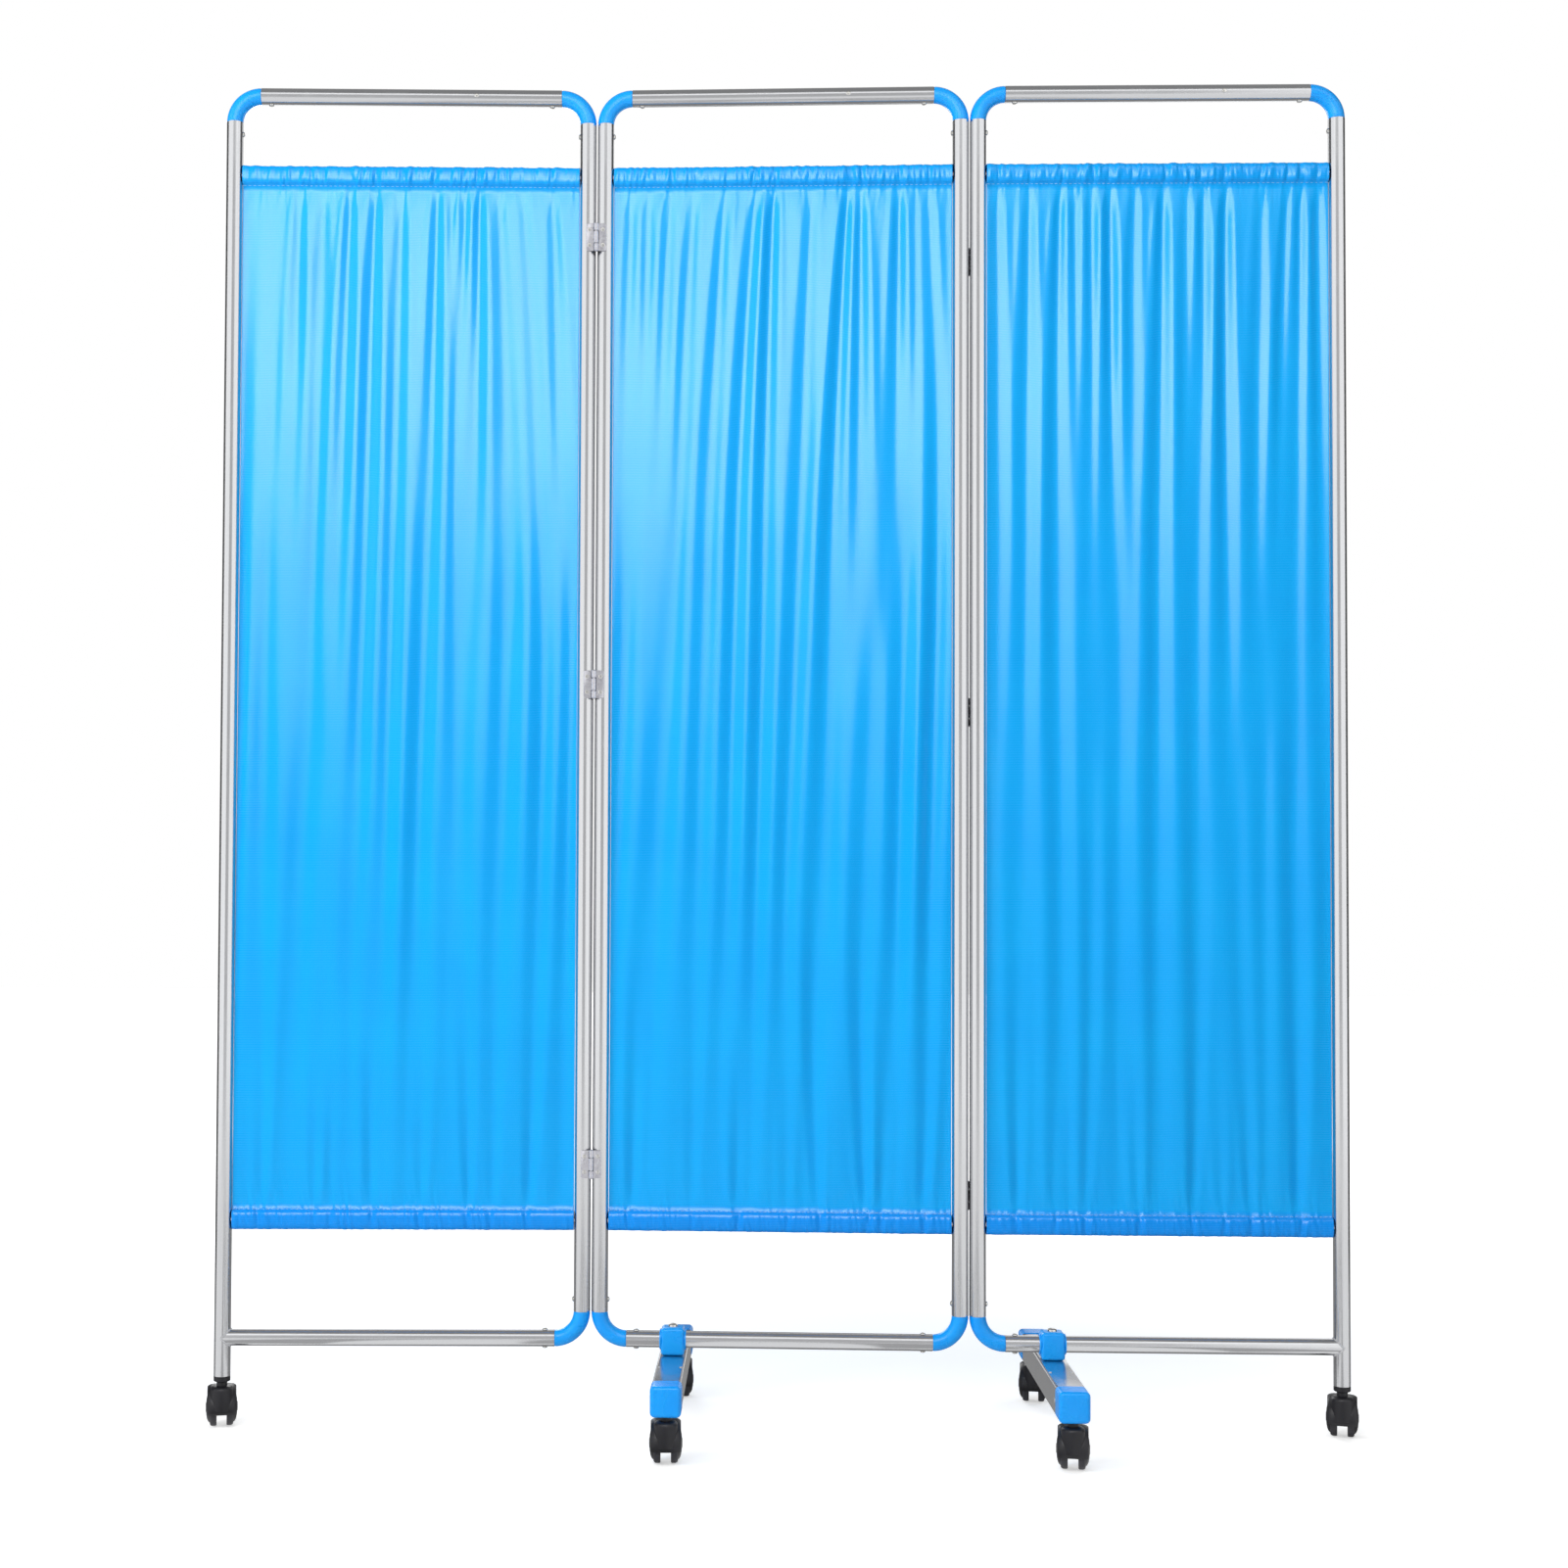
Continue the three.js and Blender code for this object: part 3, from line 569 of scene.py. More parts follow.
# %% [markdown]
# ## Posts, rails and rods
# Six posts and six rails of 22 mm tube make the frames. Each post has a hole on its inner side for each
# rod's end, and the side panels' bottom rails are coped, which means cut to saddle the round post. The
# outer posts run lower than the rest, down to a caster.

# %% Posts, rails and rods
TOP_RAIL, BOTTOM_RAIL = 1789, 120.5
ELBOW_BEND = 36
SEAM = 0.15
INNER_POST = (BOTTOM_RAIL + ELBOW_BEND + SEAM, TOP_RAIL - ELBOW_BEND - SEAM)
OUTER_POST = (70, TOP_RAIL - ELBOW_BEND - SEAM)
ROD_HEIGHTS = {"top": 1681, "bottom": 277}
ROD_RADIUS, ROD_WALL, ROD_SIDES = 4, 1, 32
ROD_IN_POST = 5
ROD_REACH = POST_REACH - TUBE_RADIUS + ROD_IN_POST
ROD_HOLE_PLAY = 0.3
# How far a drill and the coping cut reach past what they cut.
DRILL_PAST, COPING_HALF = 4, 30


def post_mesh(panel, x, ends):
    at = place[panel] @ placed(x, 0)
    inwards = 1 if x < 0 else -1
    holes = []
    for height in ROD_HEIGHTS.values():
        start, end = sorted((0, inwards * (TUBE_RADIUS + DRILL_PAST)))
        holes.append(drill("x", ROD_RADIUS + ROD_HOLE_PLAY, start, end, at @ placed(0, 0, height)))
    mesh = tube([(0, 0, ends[0]), (0, 0, ends[1])], at, steel, cutters=holes)
    return with_grain(mesh, at, "z")


def rail_mesh(panel, height, coped):
    at = place[panel] @ placed(0, 0, height)
    reach = POST_REACH - ELBOW_BEND - SEAM
    ends = [-reach, reach]
    cutters = []
    if coped:
        ends = sorted((-coped * reach, coped * POST_REACH))
        post_at = at @ placed(coped * POST_REACH, 0)
        cutters = [drill("z", TUBE_RADIUS, -COPING_HALF, COPING_HALF, post_at)]
    mesh = tube([(ends[0], 0, 0), (ends[1], 0, 0)], at, steel, cutters=cutters)
    return with_grain(mesh, at, "x")


for panel, side in SIDE_OF.items():
    body = panel + "_panel"
    names = {-1: "left", 1: "right"} if side == 0 else {side: "outer", -side: "inner"}
    for end_side, label in names.items():
        ends = OUTER_POST if label == "outer" else INNER_POST
        name = f"{panel}_{label}_post"
        mesh = post_mesh(panel, end_side * POST_REACH, ends)
        finish_piece(name + "_tube", mesh, steel, body, [name])
    for label, height in (("top", TOP_RAIL), ("bottom", BOTTOM_RAIL)):
        name = f"{panel}_{label}_rail"
        mesh = rail_mesh(panel, height, side if label == "bottom" else 0)
        finish_piece(name + "_tube", mesh, steel, body, [name])
    for label, height in ROD_HEIGHTS.items():
        at = place[panel] @ placed(0, 0, height)
        name = f"{panel}_rod_{label}"
        mesh = tube([(-ROD_REACH, 0, 0), (ROD_REACH, 0, 0)], at, zinc, ROD_RADIUS, ROD_WALL, ROD_SIDES)
        finish_piece(name + "_steel", mesh, zinc, body, [name])
print("Tubes and rods:", sum(piece_count.values()))

# %% [markdown]
# ## Elbows
# Each corner is a moulded quarter bend with a spigot on both ends that plugs into the tubes. A small
# rounded shoulder meets each tube's end, and the two halves of the mould leave a fine ridge round the
# outside and the inside of the bend. A skin over rings along the bend gives all of it in one go.

# %% Elbows
SPIGOT_RADIUS = 9.7
SPIGOT_LENGTH = 24
ELBOW_SIDES = 48
ELBOW_STEPS = 20
MOULD_RIDGE = 0.16
ELBOW_RADIUS = TUBE_RADIUS - MOULD_RIDGE
# (distance past the bend's end, radius) of a spigot, from its chamfered tip to the bend.
SPIGOT = [(SPIGOT_LENGTH, SPIGOT_RADIUS - 0.8), (SPIGOT_LENGTH - 1.5, SPIGOT_RADIUS), (0.0, SPIGOT_RADIUS)]
# (share of the bend, radius) of the rounded shoulder at each end.
SHOULDER = [(0.0, 10.2), (0.012, 10.6), (0.028, ELBOW_RADIUS)]


def elbow_rows():
    stations = [(0.0, past_end, radius) for past_end, radius in SPIGOT]
    stations += [(share, 0.0, radius) for share, radius in SHOULDER]
    stations += [(i / ELBOW_STEPS, 0.0, ELBOW_RADIUS) for i in range(1, ELBOW_STEPS)]
    stations += [(1 - share, 0.0, radius) for share, radius in reversed(SHOULDER)]
    stations += [(1.0, past_end, radius) for past_end, radius in reversed(SPIGOT)]
    rows = []
    for share, past_end, radius in stations:
        angle = share * math.pi / 2
        radial = Vector((-math.sin(angle), 0, math.cos(angle)))
        centre = Vector((ELBOW_BEND, 0, -ELBOW_BEND)) + ELBOW_BEND * radial
        centre += past_end * (Vector((1, 0, 0)) if share < 0.5 else Vector((0, 0, -1)))
        row = []
        for i in range(ELBOW_SIDES):
            around = 2 * math.pi * i / ELBOW_SIDES
            ridge = MOULD_RIDGE if radius == ELBOW_RADIUS and i % (ELBOW_SIDES // 2) == 0 else 0
            arm = math.cos(around) * radial + math.sin(around) * Vector((0, 1, 0))
            row.append(centre + (radius + ridge) * arm)
        rows.append(row)
    return rows


CORNERS = [(-1, "top"), (1, "top"), (1, "bottom"), (-1, "bottom")]
for panel, outer in SIDE_OF.items():
    names = {-1: "left", 1: "right"} if outer == 0 else {outer: "outer", -outer: "inner"}
    for turns, (side, end) in enumerate(CORNERS):
        if outer and side == outer and end == "bottom":
            continue
        height = TOP_RAIL if end == "top" else BOTTOM_RAIL
        turn = Matrix.Rotation(turns * math.pi / 2, 4, "Y")
        at = place[panel] @ placed(side * POST_REACH, 0, height) @ turn
        shape = bmesh.new()
        add_rows(shape, elbow_rows())
        name = f"{panel}_elbow_{end}_{names[side]}"
        mesh = mesh_from(shape, at)
        finish_piece(name + "_moulding", mesh, blue_plastic, panel + "_panel", [name])
print("Elbows: 10 corners, the outer bottom ones have none")

# %% [markdown]
# ## Geometry Nodes: fasteners
# Screws, rivets and bolts are one head each, repeated wherever a list of points says, facing along an
# attribute named facing. Each is turned by its own angle, from a fixed seed, as screws driven by hand are.

# %% Fastener tree
fastener_tree, given = new_tree("Heads on points", [
    ("Head", "Object", None), ("Spin", "Float", 3.1), ("Seed", "Int", 7), ("Material", "Material", None),
])
facing = add(fastener_tree, "GeometryNodeInputNamedAttribute", {"Name": "facing"}, data_type="FLOAT_VECTOR")
aligned = add(fastener_tree, "FunctionNodeAlignRotationToVector", {"Vector": facing.outputs[0]}, axis="Z")
angle = add(fastener_tree, "FunctionNodeRandomValue", {
    2: 0.0, 3: given.outputs["Spin"], 8: given.outputs["Seed"],
}, data_type="FLOAT")
spin = add(fastener_tree, "FunctionNodeAxisAngleToRotation", {"Axis": (0, 0, 1), "Angle": angle.outputs[1]})
driven = add(fastener_tree, "FunctionNodeRotateRotation", {
    "Rotation": aligned.outputs[0], "Rotate By": spin.outputs[0],
}, rotation_space="LOCAL")
head = add(fastener_tree, "GeometryNodeObjectInfo", {"Object": given.outputs["Head"]})
heads = add(fastener_tree, "GeometryNodeInstanceOnPoints", {
    "Points": given.outputs["Geometry"], "Instance": head.outputs["Geometry"], "Rotation": driven.outputs[0],
})
end_tree(fastener_tree, heads.outputs[0], given.outputs["Material"])

# %% [markdown]
# The heads are turned shapes: a pan head for the elbows' screws, a low raised head for the hinges, both
# with a cross recess, and plain domes for the rivets, studs and bolts. Each is only a pattern to copy, and
# is removed at the end.

# %% Heads
# A cross recess: its depth, the width of its arms as a share of their length, and its size at its floor
# and above the head, as shares of its reach, because it narrows downwards.
RECESS_DEPTH = 0.75
RECESS_ARM = 0.2
RECESS_FLOOR, RECESS_MOUTH = 0.6, 1.15
# A dome: how full its curve is, and the height of its rim and the radius of its shank, as shares of its
# own. It is set a hair into what it sits on.
DOME_CURVE, DOME_RIM, SHANK_SHARE = 0.8, 0.2, 0.55
SEATED = 0.1


def head_object(name, profile, recess=0.0, sides=28):
    """A turned head about Z that sits on Z = 0; recess is the cross recess's reach in mm."""
    shape = bmesh.new()
    turned(shape, profile, "z", sides)
    made = linked(name, mesh_from(shape, Matrix.Identity(4)))
    if recess:
        top = profile[-1][1]
        levels = [(RECESS_FLOOR, top - RECESS_DEPTH), (RECESS_MOUTH, top + 1)]
        square = [(-1, -1), (1, -1), (1, 1), (-1, 1)]
        arm = recess * RECESS_ARM
        cross = bmesh.new()
        for across, along_cross in ((recess, arm), (arm, recess)):
            rows = [[(x * across * k, y * along_cross * k, z) for x, y in square] for k, z in levels]
            add_rows(cross, rows)
        cutter = linked("cross", mesh_from(cross, Matrix.Identity(4)))
        boolean = made.modifiers.new("Recess", "BOOLEAN")
        boolean.solver = "EXACT"
        boolean.use_self = True
        boolean.object = cutter
        made = linked(name, settled(made))
        made.data.set_sharp_from_angle(angle=math.radians(SHARP_DEGREES))
        bpy.data.objects.remove(cutter)
    return made


def dome(radius, height, root=1.5, steps=6):
    """The profile of a low dome on a short cylinder that reaches root mm into what it sits on."""
    shank = radius * SHANK_SHARE
    points = [(0, -root), (shank, -root), (shank, -SEATED), (radius, -SEATED)]
    for i in range(steps + 1):
        angle = math.pi / 2 * i / steps
        reach = radius * math.cos(angle) ** DOME_CURVE if i < steps else 0
        points.append((reach, height * (DOME_RIM + (1 - DOME_RIM) * math.sin(angle))))
    return points


pan_head = head_object("pan_head", dome(3.5, 2.3), recess=1.9)
lens_head = head_object("lens_head", dome(2.7, 0.42), recess=1.6)
rivet_head = head_object("rivet_head", dome(3.1, 1.3))
stud_head = head_object("stud_head", dome(2.0, 1.1))
bolt_head = head_object("bolt_head", dome(6.2, 4.2))


def fasteners(name, head_shape, places, body, seed=7):
    """places holds (matrix, point in mm, direction) for each head."""
    base = bpy.data.meshes.new(name)
    base.from_pydata([matrix @ (Vector(point) * MM) for matrix, point, _ in places], [], [])
    facing_values = base.attributes.new("facing", "FLOAT_VECTOR", "POINT")
    for i, (matrix, _, direction) in enumerate(places):
        facing_values.data[i].vector = matrix.to_3x3() @ Vector(direction)
    mesh = grown(fastener_tree, base, Head=head_shape, Seed=seed, Material=nickel)
    return finish_piece(name, mesh, nickel, body)


# %% [markdown]
# A self-tapping screw holds each elbow's spigots: one on the post's inner side, 16 mm from the seam,
# and one on the rail's inner side, a little closer. The bottom rails have another one underneath. A
# small rivet shows on each top rail.

# %% Elbow screws and rail rivets
POST_SCREW, RAIL_SCREW = 16, 13
RAIL_RIVET_PLACE = 88

for panel, outer in SIDE_OF.items():
    places = []
    for side, end in CORNERS:
        if outer and side == outer and end == "bottom":
            continue
        up = -1 if end == "top" else 1
        height = TOP_RAIL if end == "top" else BOTTOM_RAIL
        post_point = (side * (POST_REACH - TUBE_RADIUS), 0, height + up * (ELBOW_BEND + POST_SCREW))
        places.append((place[panel], post_point, (-side, 0, 0)))
        for facing_up in ((up,) if end == "top" else (up, -up)):
            rail_point = (side * (POST_REACH - ELBOW_BEND - RAIL_SCREW), 0, height + facing_up * TUBE_RADIUS)
            places.append((place[panel], rail_point, (0, 0, facing_up)))
    fasteners(f"{panel}_elbow_screws", pan_head, places, panel + "_panel")
    rivets = [(place[panel], (RAIL_RIVET_PLACE, -TUBE_RADIUS, TOP_RAIL), (0, -1, 0))]
    fasteners(f"{panel}_rail_rivet", rivet_head, rivets, panel + "_panel")
print("Elbow screws: 24, rail rivets: 3")

# %% [markdown]
# ## Geometry Nodes: a weld bead
# Where a coped rail meets the outer post, a TIG weld runs round the joint. Its row of small overlapping
# ripples is one flattened ball, repeated along the line where two equal tubes cross.

# %% Weld beads
weld_tree, given = new_tree("Weld bead along a line", [
    ("Pitch", "Float", 0.0013), ("Bead", "Float", 0.0015), ("Material", "Material", None),
])
path = add(weld_tree, "GeometryNodeMeshToCurve", {"Mesh": given.outputs["Geometry"]})
steps = add(weld_tree, "GeometryNodeCurveToPoints", {
    "Curve": path.outputs[0], "Length": given.outputs["Pitch"],
}, mode="LENGTH")
ball = add(weld_tree, "GeometryNodeMeshUVSphere", {
    "Segments": 10, "Rings": 6, "Radius": given.outputs["Bead"],
})
row = add(weld_tree, "GeometryNodeInstanceOnPoints", {
    "Points": steps.outputs["Points"], "Instance": ball.outputs[0], "Rotation": steps.outputs["Rotation"],
    "Scale": (1.0, 1.0, 0.75),
})
smooth = add(weld_tree, "GeometryNodeSetShadeSmooth", {"Geometry": row.outputs[0]})
end_tree(weld_tree, smooth.outputs[0], given.outputs["Material"])

WELD_POINTS = 72
WELD_PITCH, BEAD_RADIUS = 1.3, 1.4
for panel in ("left", "right"):
    side = SIDE_OF[panel]
    line = []
    for i in range(WELD_POINTS):
        angle = 2 * math.pi * i / WELD_POINTS
        y, z = TUBE_RADIUS * math.sin(angle), TUBE_RADIUS * math.cos(angle)
        line.append((side * (POST_REACH - abs(z)), y, BOTTOM_RAIL + z))
    base = line_mesh(line, place[panel], closed=True)
    mesh = grown(weld_tree, base, Pitch=WELD_PITCH * MM, Bead=BEAD_RADIUS * MM, Material=steel)
    with_grain(mesh, place[panel], "x")
    finish_piece(f"{panel}_rail_weld", mesh, steel, panel + "_panel")

# %% [markdown]
# ## The curtains
# A curtain is one strip of satin, a little wider than the space between its posts. It is sewn back on
# itself at the top and bottom into casings, and shirred on the rods. The gathers pinch at the two lines
# of stitches, and the folds start there, spread and fade. A simulation could find such folds, but here
# the photograph shows just where the deep ones run, so each is placed: a valley with a soft ridge on
# both sides, from a point under the header to a point further down. The CAD model's broad folds lie
# under them, and noise adds the crinkles of the casings.

# %% The folds of a curtain
CLOTH_REACH = 227.6
CASING_HALF_HEIGHT = 13
CASING_DEPTH = 6.4
STITCH_TOP, STITCH_BOTTOM = 1668, 290
SHEET_HEIGHT = STITCH_TOP - STITCH_BOTTOM
# The cloth stays within this distance of the panel's plane.
DEEPEST = 10.5
NOISE_SEED = {"left": 31, "middle": 62, "right": 93}
# The upper parts hang nearly flat: by what share, from what share of the height, and where the flattest
# part lies and how far it reaches, in mm.
CALM = {"left": (0.72, 0.35, 165, 80), "middle": (0.66, 0.35, -180, 70), "right": (0.78, 0.12, -190, 30)}

# The CAD model's broad waves: number of folds, lean over the height, and where in a turn they start.
BROAD = {"left": (9, 0.06, 0.06), "middle": (10, 0.1, 0.2), "right": (10, -0.03, 0.4)}
BROAD_DEPTH = 5
# How unevenly these are spaced, what a slower second wave adds, and what is left of them at both ends.
BROAD_UNEVENNESS = 0.02
MAIN_SHARE, SLOW_SHARE, SLOW_PACE = 0.7, 0.3, 0.6
END_SHARE, MIDDLE_SHARE, BROAD_SAG = 0.25, 0.75, 1.3

# Deep folds: place under the header, drift on the way down, depth, all in mm.
PLEATS_TOP = {
    "left": [
        (-149, -22, 2.2), (-118, -20, 1.3), (-81, -28, 3.6), (-48, -20, 3.4), (-13, -10, 1.8), (36, -12, 3.2),
        (54, 6, 1.4), (74, -14, 2.8), (92, -10, 4.2), (118, 40, 1.6), (150, 66, 1.4), (190, 40, 1.6),
    ],
    "middle": [
        (-204, -16, 1.6), (-178, -30, 1.4), (-150, -44, 1.8), (-118, -52, 1.7), (-74, -70, 1.8),
        (-34, -66, 2.2), (-11, -40, 4.0), (40, -34, 1.7), (90, -60, 4.4), (104, 8, 3.2), (157, -8, 4.0),
        (196, 24, 2.2),
    ],
    "right": [
        (-214, 4, 2.4), (-170, -12, 3.0), (-129, -14, 3.6), (-110, -4, 2.2), (-88, 10, 3.0), (-63, 2, 4.0),
        (-30, -20, 2.4), (9, -16, 4.4), (38, 10, 2.0), (62, -6, 3.2), (92, -10, 4.4), (140, -24, 2.0),
        (176, -40, 2.6), (190, -12, 4.0), (214, -2, 2.4),
    ],
}
# The same above the bottom stitches, with the drift on the way up.
PLEATS_BOTTOM = {
    "left": [
        (-190, 14, 3.2), (-120, 26, 2.6), (-98, -8, 2.2), (-44, -16, 3.4), (22, 20, 2.8), (88, -24, 4.0),
        (118, 12, 2.4), (166, 30, 3.4),
    ],
    "middle": [
        (-197, 12, 3.6), (-118, 20, 2.2), (-58, 6, 3.6), (8, 16, 2.4), (52, -34, 4.2), (115, -36, 4.4),
        (135, 12, 3.0), (189, 40, 4.2),
    ],
    "right": [
        (-186, -12, 4.0), (-140, 10, 2.4), (-98, 22, 3.4), (-28, -18, 3.8), (44, 24, 3.6), (82, -10, 2.6),
        (120, -20, 4.2), (182, 16, 3.8),
    ],
}


def broad_wave(panel, across, up):
    folds, lean, start_share = BROAD[panel]
    start = 2 * math.pi * start_share
    position = across + lean * (1 - up) + BROAD_UNEVENNESS * math.sin(4 * math.pi * across + start)
    turn = 2 * math.pi * folds * position
    wave = MAIN_SHARE * math.sin(turn + start) + SLOW_SHARE * math.sin(turn * SLOW_PACE)
    return wave * (END_SHARE + MIDDLE_SHARE * math.sin(math.pi * max(0.0, min(1.0, up)) ** BROAD_SAG))


# A deep fold opens over a short way from the stitches, and fades and spreads towards the far end.
PLEAT_START, PLEAT_OPENS_OVER = 12, 30
PLEAT_FADES_BY, PLEAT_CURVE = 0.62, 0.8
PLEAT_WIDTH, PLEAT_SPREAD, SPREAD_CURVE = 5.5, 13, 0.65
# Its ridges: their height as a share of the valley's depth, and their place and tightness in its widths.
RIDGE_SHARE, RIDGE_PLACE, RIDGE_TIGHTNESS = 0.36, 1.7, 1.5
PLEAT_REACH = 4


def pleat_sum(pleats, x, away):
    """Depth of the pinched folds at x, at a distance of away from their line of stitches."""
    total = 0.0
    far = away / SHEET_HEIGHT
    opening = 1 - math.exp(-(away + PLEAT_START) / PLEAT_OPENS_OVER)
    opening *= 1 - PLEAT_FADES_BY * far ** PLEAT_CURVE
    width = PLEAT_WIDTH + PLEAT_SPREAD * far ** SPREAD_CURVE
    for start, drift, depth in pleats:
        t = (x - start - drift * far ** PLEAT_CURVE) / width
        if abs(t) < PLEAT_REACH:
            valley = math.exp(-t * t)
            ridges = sum(math.exp(-RIDGE_TIGHTNESS * (t + side * RIDGE_PLACE) ** 2) for side in (-1, 1))
            total += depth * opening * (valley - RIDGE_SHARE * ridges)
    return total


# Small gathers: the width and reach of their bulges and of the sharper creases, how deep both are, and how
# far they run past the stitches.
BULGE_MM, BULGE_DEPTH, BULGE_SLANT = (8.5, 70), 2.0, 0.16
CREASE_MM, CREASE_DEPTH, CREASE_SLANT = (3.8, 26), 0.7, 0.2
RUFFLE_LIFT, RUFFLE_FADE, RUFFLE_GROWTH = 0.5, 26, 6


def ruffle(panel, x, past, end):
    """Small gathers at a line of stitches: round bulges with sharp valleys between them.

    past is the distance from the stitches in mm, negative inside the casing.
    """
    seed = NOISE_SEED[panel] + (0 if end == "top" else 5)
    bulges = abs(noise.noise(((x + BULGE_SLANT * past) / BULGE_MM[0], past / BULGE_MM[1], seed)))
    creases = abs(noise.noise(((x - CREASE_SLANT * past) / CREASE_MM[0], past / CREASE_MM[1], seed + 3)))
    fading = math.exp(-past / RUFFLE_FADE) if past > 0 else 1 + min(1.0, -past / RUFFLE_GROWTH)
    return (RUFFLE_LIFT - BULGE_DEPTH * bulges - CREASE_DEPTH * creases) * fading


# The calm parts are at most this flat, and take this share of the height to grow calm.
CALMEST, CALMED_OVER = 0.95, 0.35
# How far up the folds from the bottom stitches run.
BOTTOM_PLEAT_FADE = 420
RIPPLE_DEPTH, RIPPLE_MM = 0.5, (24, 170)
# The stitches hold the cloth close: the share of its depth that is left there, and how far this is felt.
PINNED_SHARE, PINNED_OVER = 0.3, 45


def sheet_depth(panel, x, z):
    """How far the cloth stands back from the panel's plane at x, z: positive is away from the viewer."""
    from_top, from_bottom = max(0.0, STITCH_TOP - z), max(0.0, z - STITCH_BOTTOM)
    up = from_bottom / SHEET_HEIGHT
    share, start, smooth_x, smooth_reach = CALM[panel]
    share += (CALMEST - share) * math.exp(-((x - smooth_x) / smooth_reach) ** 2)
    calm = 1 - share * max(0.0, min(1.0, (up - start) / CALMED_OVER))
    depth = BROAD_DEPTH * calm * broad_wave(panel, x / (2 * CLOTH_REACH) + 0.5, up)
    depth += pleat_sum(PLEATS_TOP[panel], x, from_top)
    depth += pleat_sum(PLEATS_BOTTOM[panel], x, from_bottom) * math.exp(-from_bottom / BOTTOM_PLEAT_FADE)
    depth += RIPPLE_DEPTH * noise.noise((x / RIPPLE_MM[0], z / RIPPLE_MM[1], NOISE_SEED[panel] + 9))
    pinned = min(1.0, PINNED_SHARE + from_top / PINNED_OVER, PINNED_SHARE + from_bottom / PINNED_OVER)
    depth = depth * pinned + ruffle(panel, x, from_top, "top") + ruffle(panel, x, from_bottom, "bottom")
    return max(-DEEPEST, min(DEEPEST, depth))


# %% [markdown]
# The strip's rows start at the back of the top casing, run over the rod and down the front to the
# stitches, then down the sheet, and round the bottom rod in the same way. Casing rows bulge round the
# rod and pinch at the stitches, and their crinkles run slantwise as shirred cloth does.

# %% The curtain's mesh
CASING_TURN = 0.93 * math.pi
CASING_STEPS = 18
SHEET_ROWS = 92
COLUMNS = 344
# Most rows are spaced evenly, and the rest crowd near the stitches.
EVEN_ROWS, CROWDED_ROWS = 0.62, 0.38
LAYER_GAP = 0.55
ROD_CLEARANCE = ROD_RADIUS + 0.8
CASING_RUFFLE = {"top": 0.8, "bottom": 0.45}
# Each deep fold goes on as a pinch over the casing: its slant, which differs from fold to fold, its width
# and what a deeper one adds to that, its depth, and the height and place of its ridge.
PINCH_SLANT, PINCH_WIDTH, PINCH_WIDENING = 2.2, 2.4, 0.5
PINCH_DEPTH, PINCH_RIDGE, PINCH_RIDGE_PLACE = 0.9, 0.35, 1.9
# The casing's outline: how flat its middle is, and over what turn it closes at the stitches.
BAND_FLATNESS, BAND_CLOSES_OVER = 3.5, 0.35
# Crinkles show less on the back and along the edge, and vanish towards the stitches.
BACK_CRINKLE, EDGE_CRINKLE, SEAM_HOLD = 0.6, 0.45, 4


def casing_point(panel, x, angle, end):
    """angle is 0 at the casing's outer edge, positive on the front."""
    at_stitch = STITCH_TOP if end == "top" else STITCH_BOTTOM
    pleats = (PLEATS_TOP if end == "top" else PLEATS_BOTTOM)[panel]
    share = abs(angle) / math.pi
    crinkle = -CASING_RUFFLE[end] * ruffle(panel, x, 2 * CASING_HALF_HEIGHT * (share - 1), end)
    for start, _, depth in pleats:
        slant = PINCH_SLANT * math.sin(1.7 * start) * angle
        t = (x - start - slant) / (PINCH_WIDTH + PINCH_WIDENING * depth)
        ridge = PINCH_RIDGE * math.exp(-((t - PINCH_RIDGE_PLACE) ** 2))
        crinkle += PINCH_DEPTH * depth * (ridge - math.exp(-t * t)) * share ** 0.5
    # The band is nearly flat in its middle and drawn in sharply at the stitches.
    bulge = (1 - abs(math.cos(angle)) ** BAND_FLATNESS) ** 0.5
    bulge *= min(1.0, (CASING_TURN - abs(angle)) / BAND_CLOSES_OVER)
    y = math.copysign(max(CASING_DEPTH * bulge, LAYER_GAP), -angle)
    if angle > 0:
        y -= crinkle * (1 - share ** SEAM_HOLD) * min(1.0, 2 * bulge)
    else:
        y += BACK_CRINKLE * crinkle * bulge
    y += sheet_depth(panel, x, at_stitch) * (share ** SEAM_HOLD)
    lift = (CASING_HALF_HEIGHT + EDGE_CRINKLE * crinkle * (1 - share)) * math.cos(angle)
    # The cloth lies on the rod inside it, and never sinks into it.
    if abs(lift) < ROD_CLEARANCE:
        proud = (ROD_CLEARANCE ** 2 - lift ** 2) ** 0.5
        y = min(y, -proud) if angle > 0 else max(y, proud)
    z = ROD_HEIGHTS[end] + (lift if end == "top" else -lift)
    return (x, y, z)


def curtain_rows(panel):
    turns = [CASING_TURN * (2 * i / CASING_STEPS - 1) for i in range(CASING_STEPS + 1)]
    xs = [CLOTH_REACH * (2 * i / COLUMNS - 1) for i in range(COLUMNS + 1)]
    rows = [[casing_point(panel, x, angle, "top") for x in xs] for angle in turns]
    for i in range(1, SHEET_ROWS):
        t = i / SHEET_ROWS
        share = EVEN_ROWS * t + CROWDED_ROWS * (0.5 - 0.5 * math.cos(math.pi * t))
        z = STITCH_TOP - SHEET_HEIGHT * share
        rows.append([(x, sheet_depth(panel, x, z) - LAYER_GAP, z) for x in xs])
    rows += [[casing_point(panel, x, angle, "bottom") for x in xs] for angle in reversed(turns)]
    return rows


def path_length(points):
    return sum((Vector(b) - Vector(a)).length for a, b in zip(points, points[1:]))


# %% [markdown]
# The skin is one sheet of vertices, so its flat width and length can be measured along the cloth. The
# satin's pattern follows the same measure, and a Solidify modifier gives the cloth its thickness.

# %% Hang the curtains
CLOTH_THICKNESS = 0.7
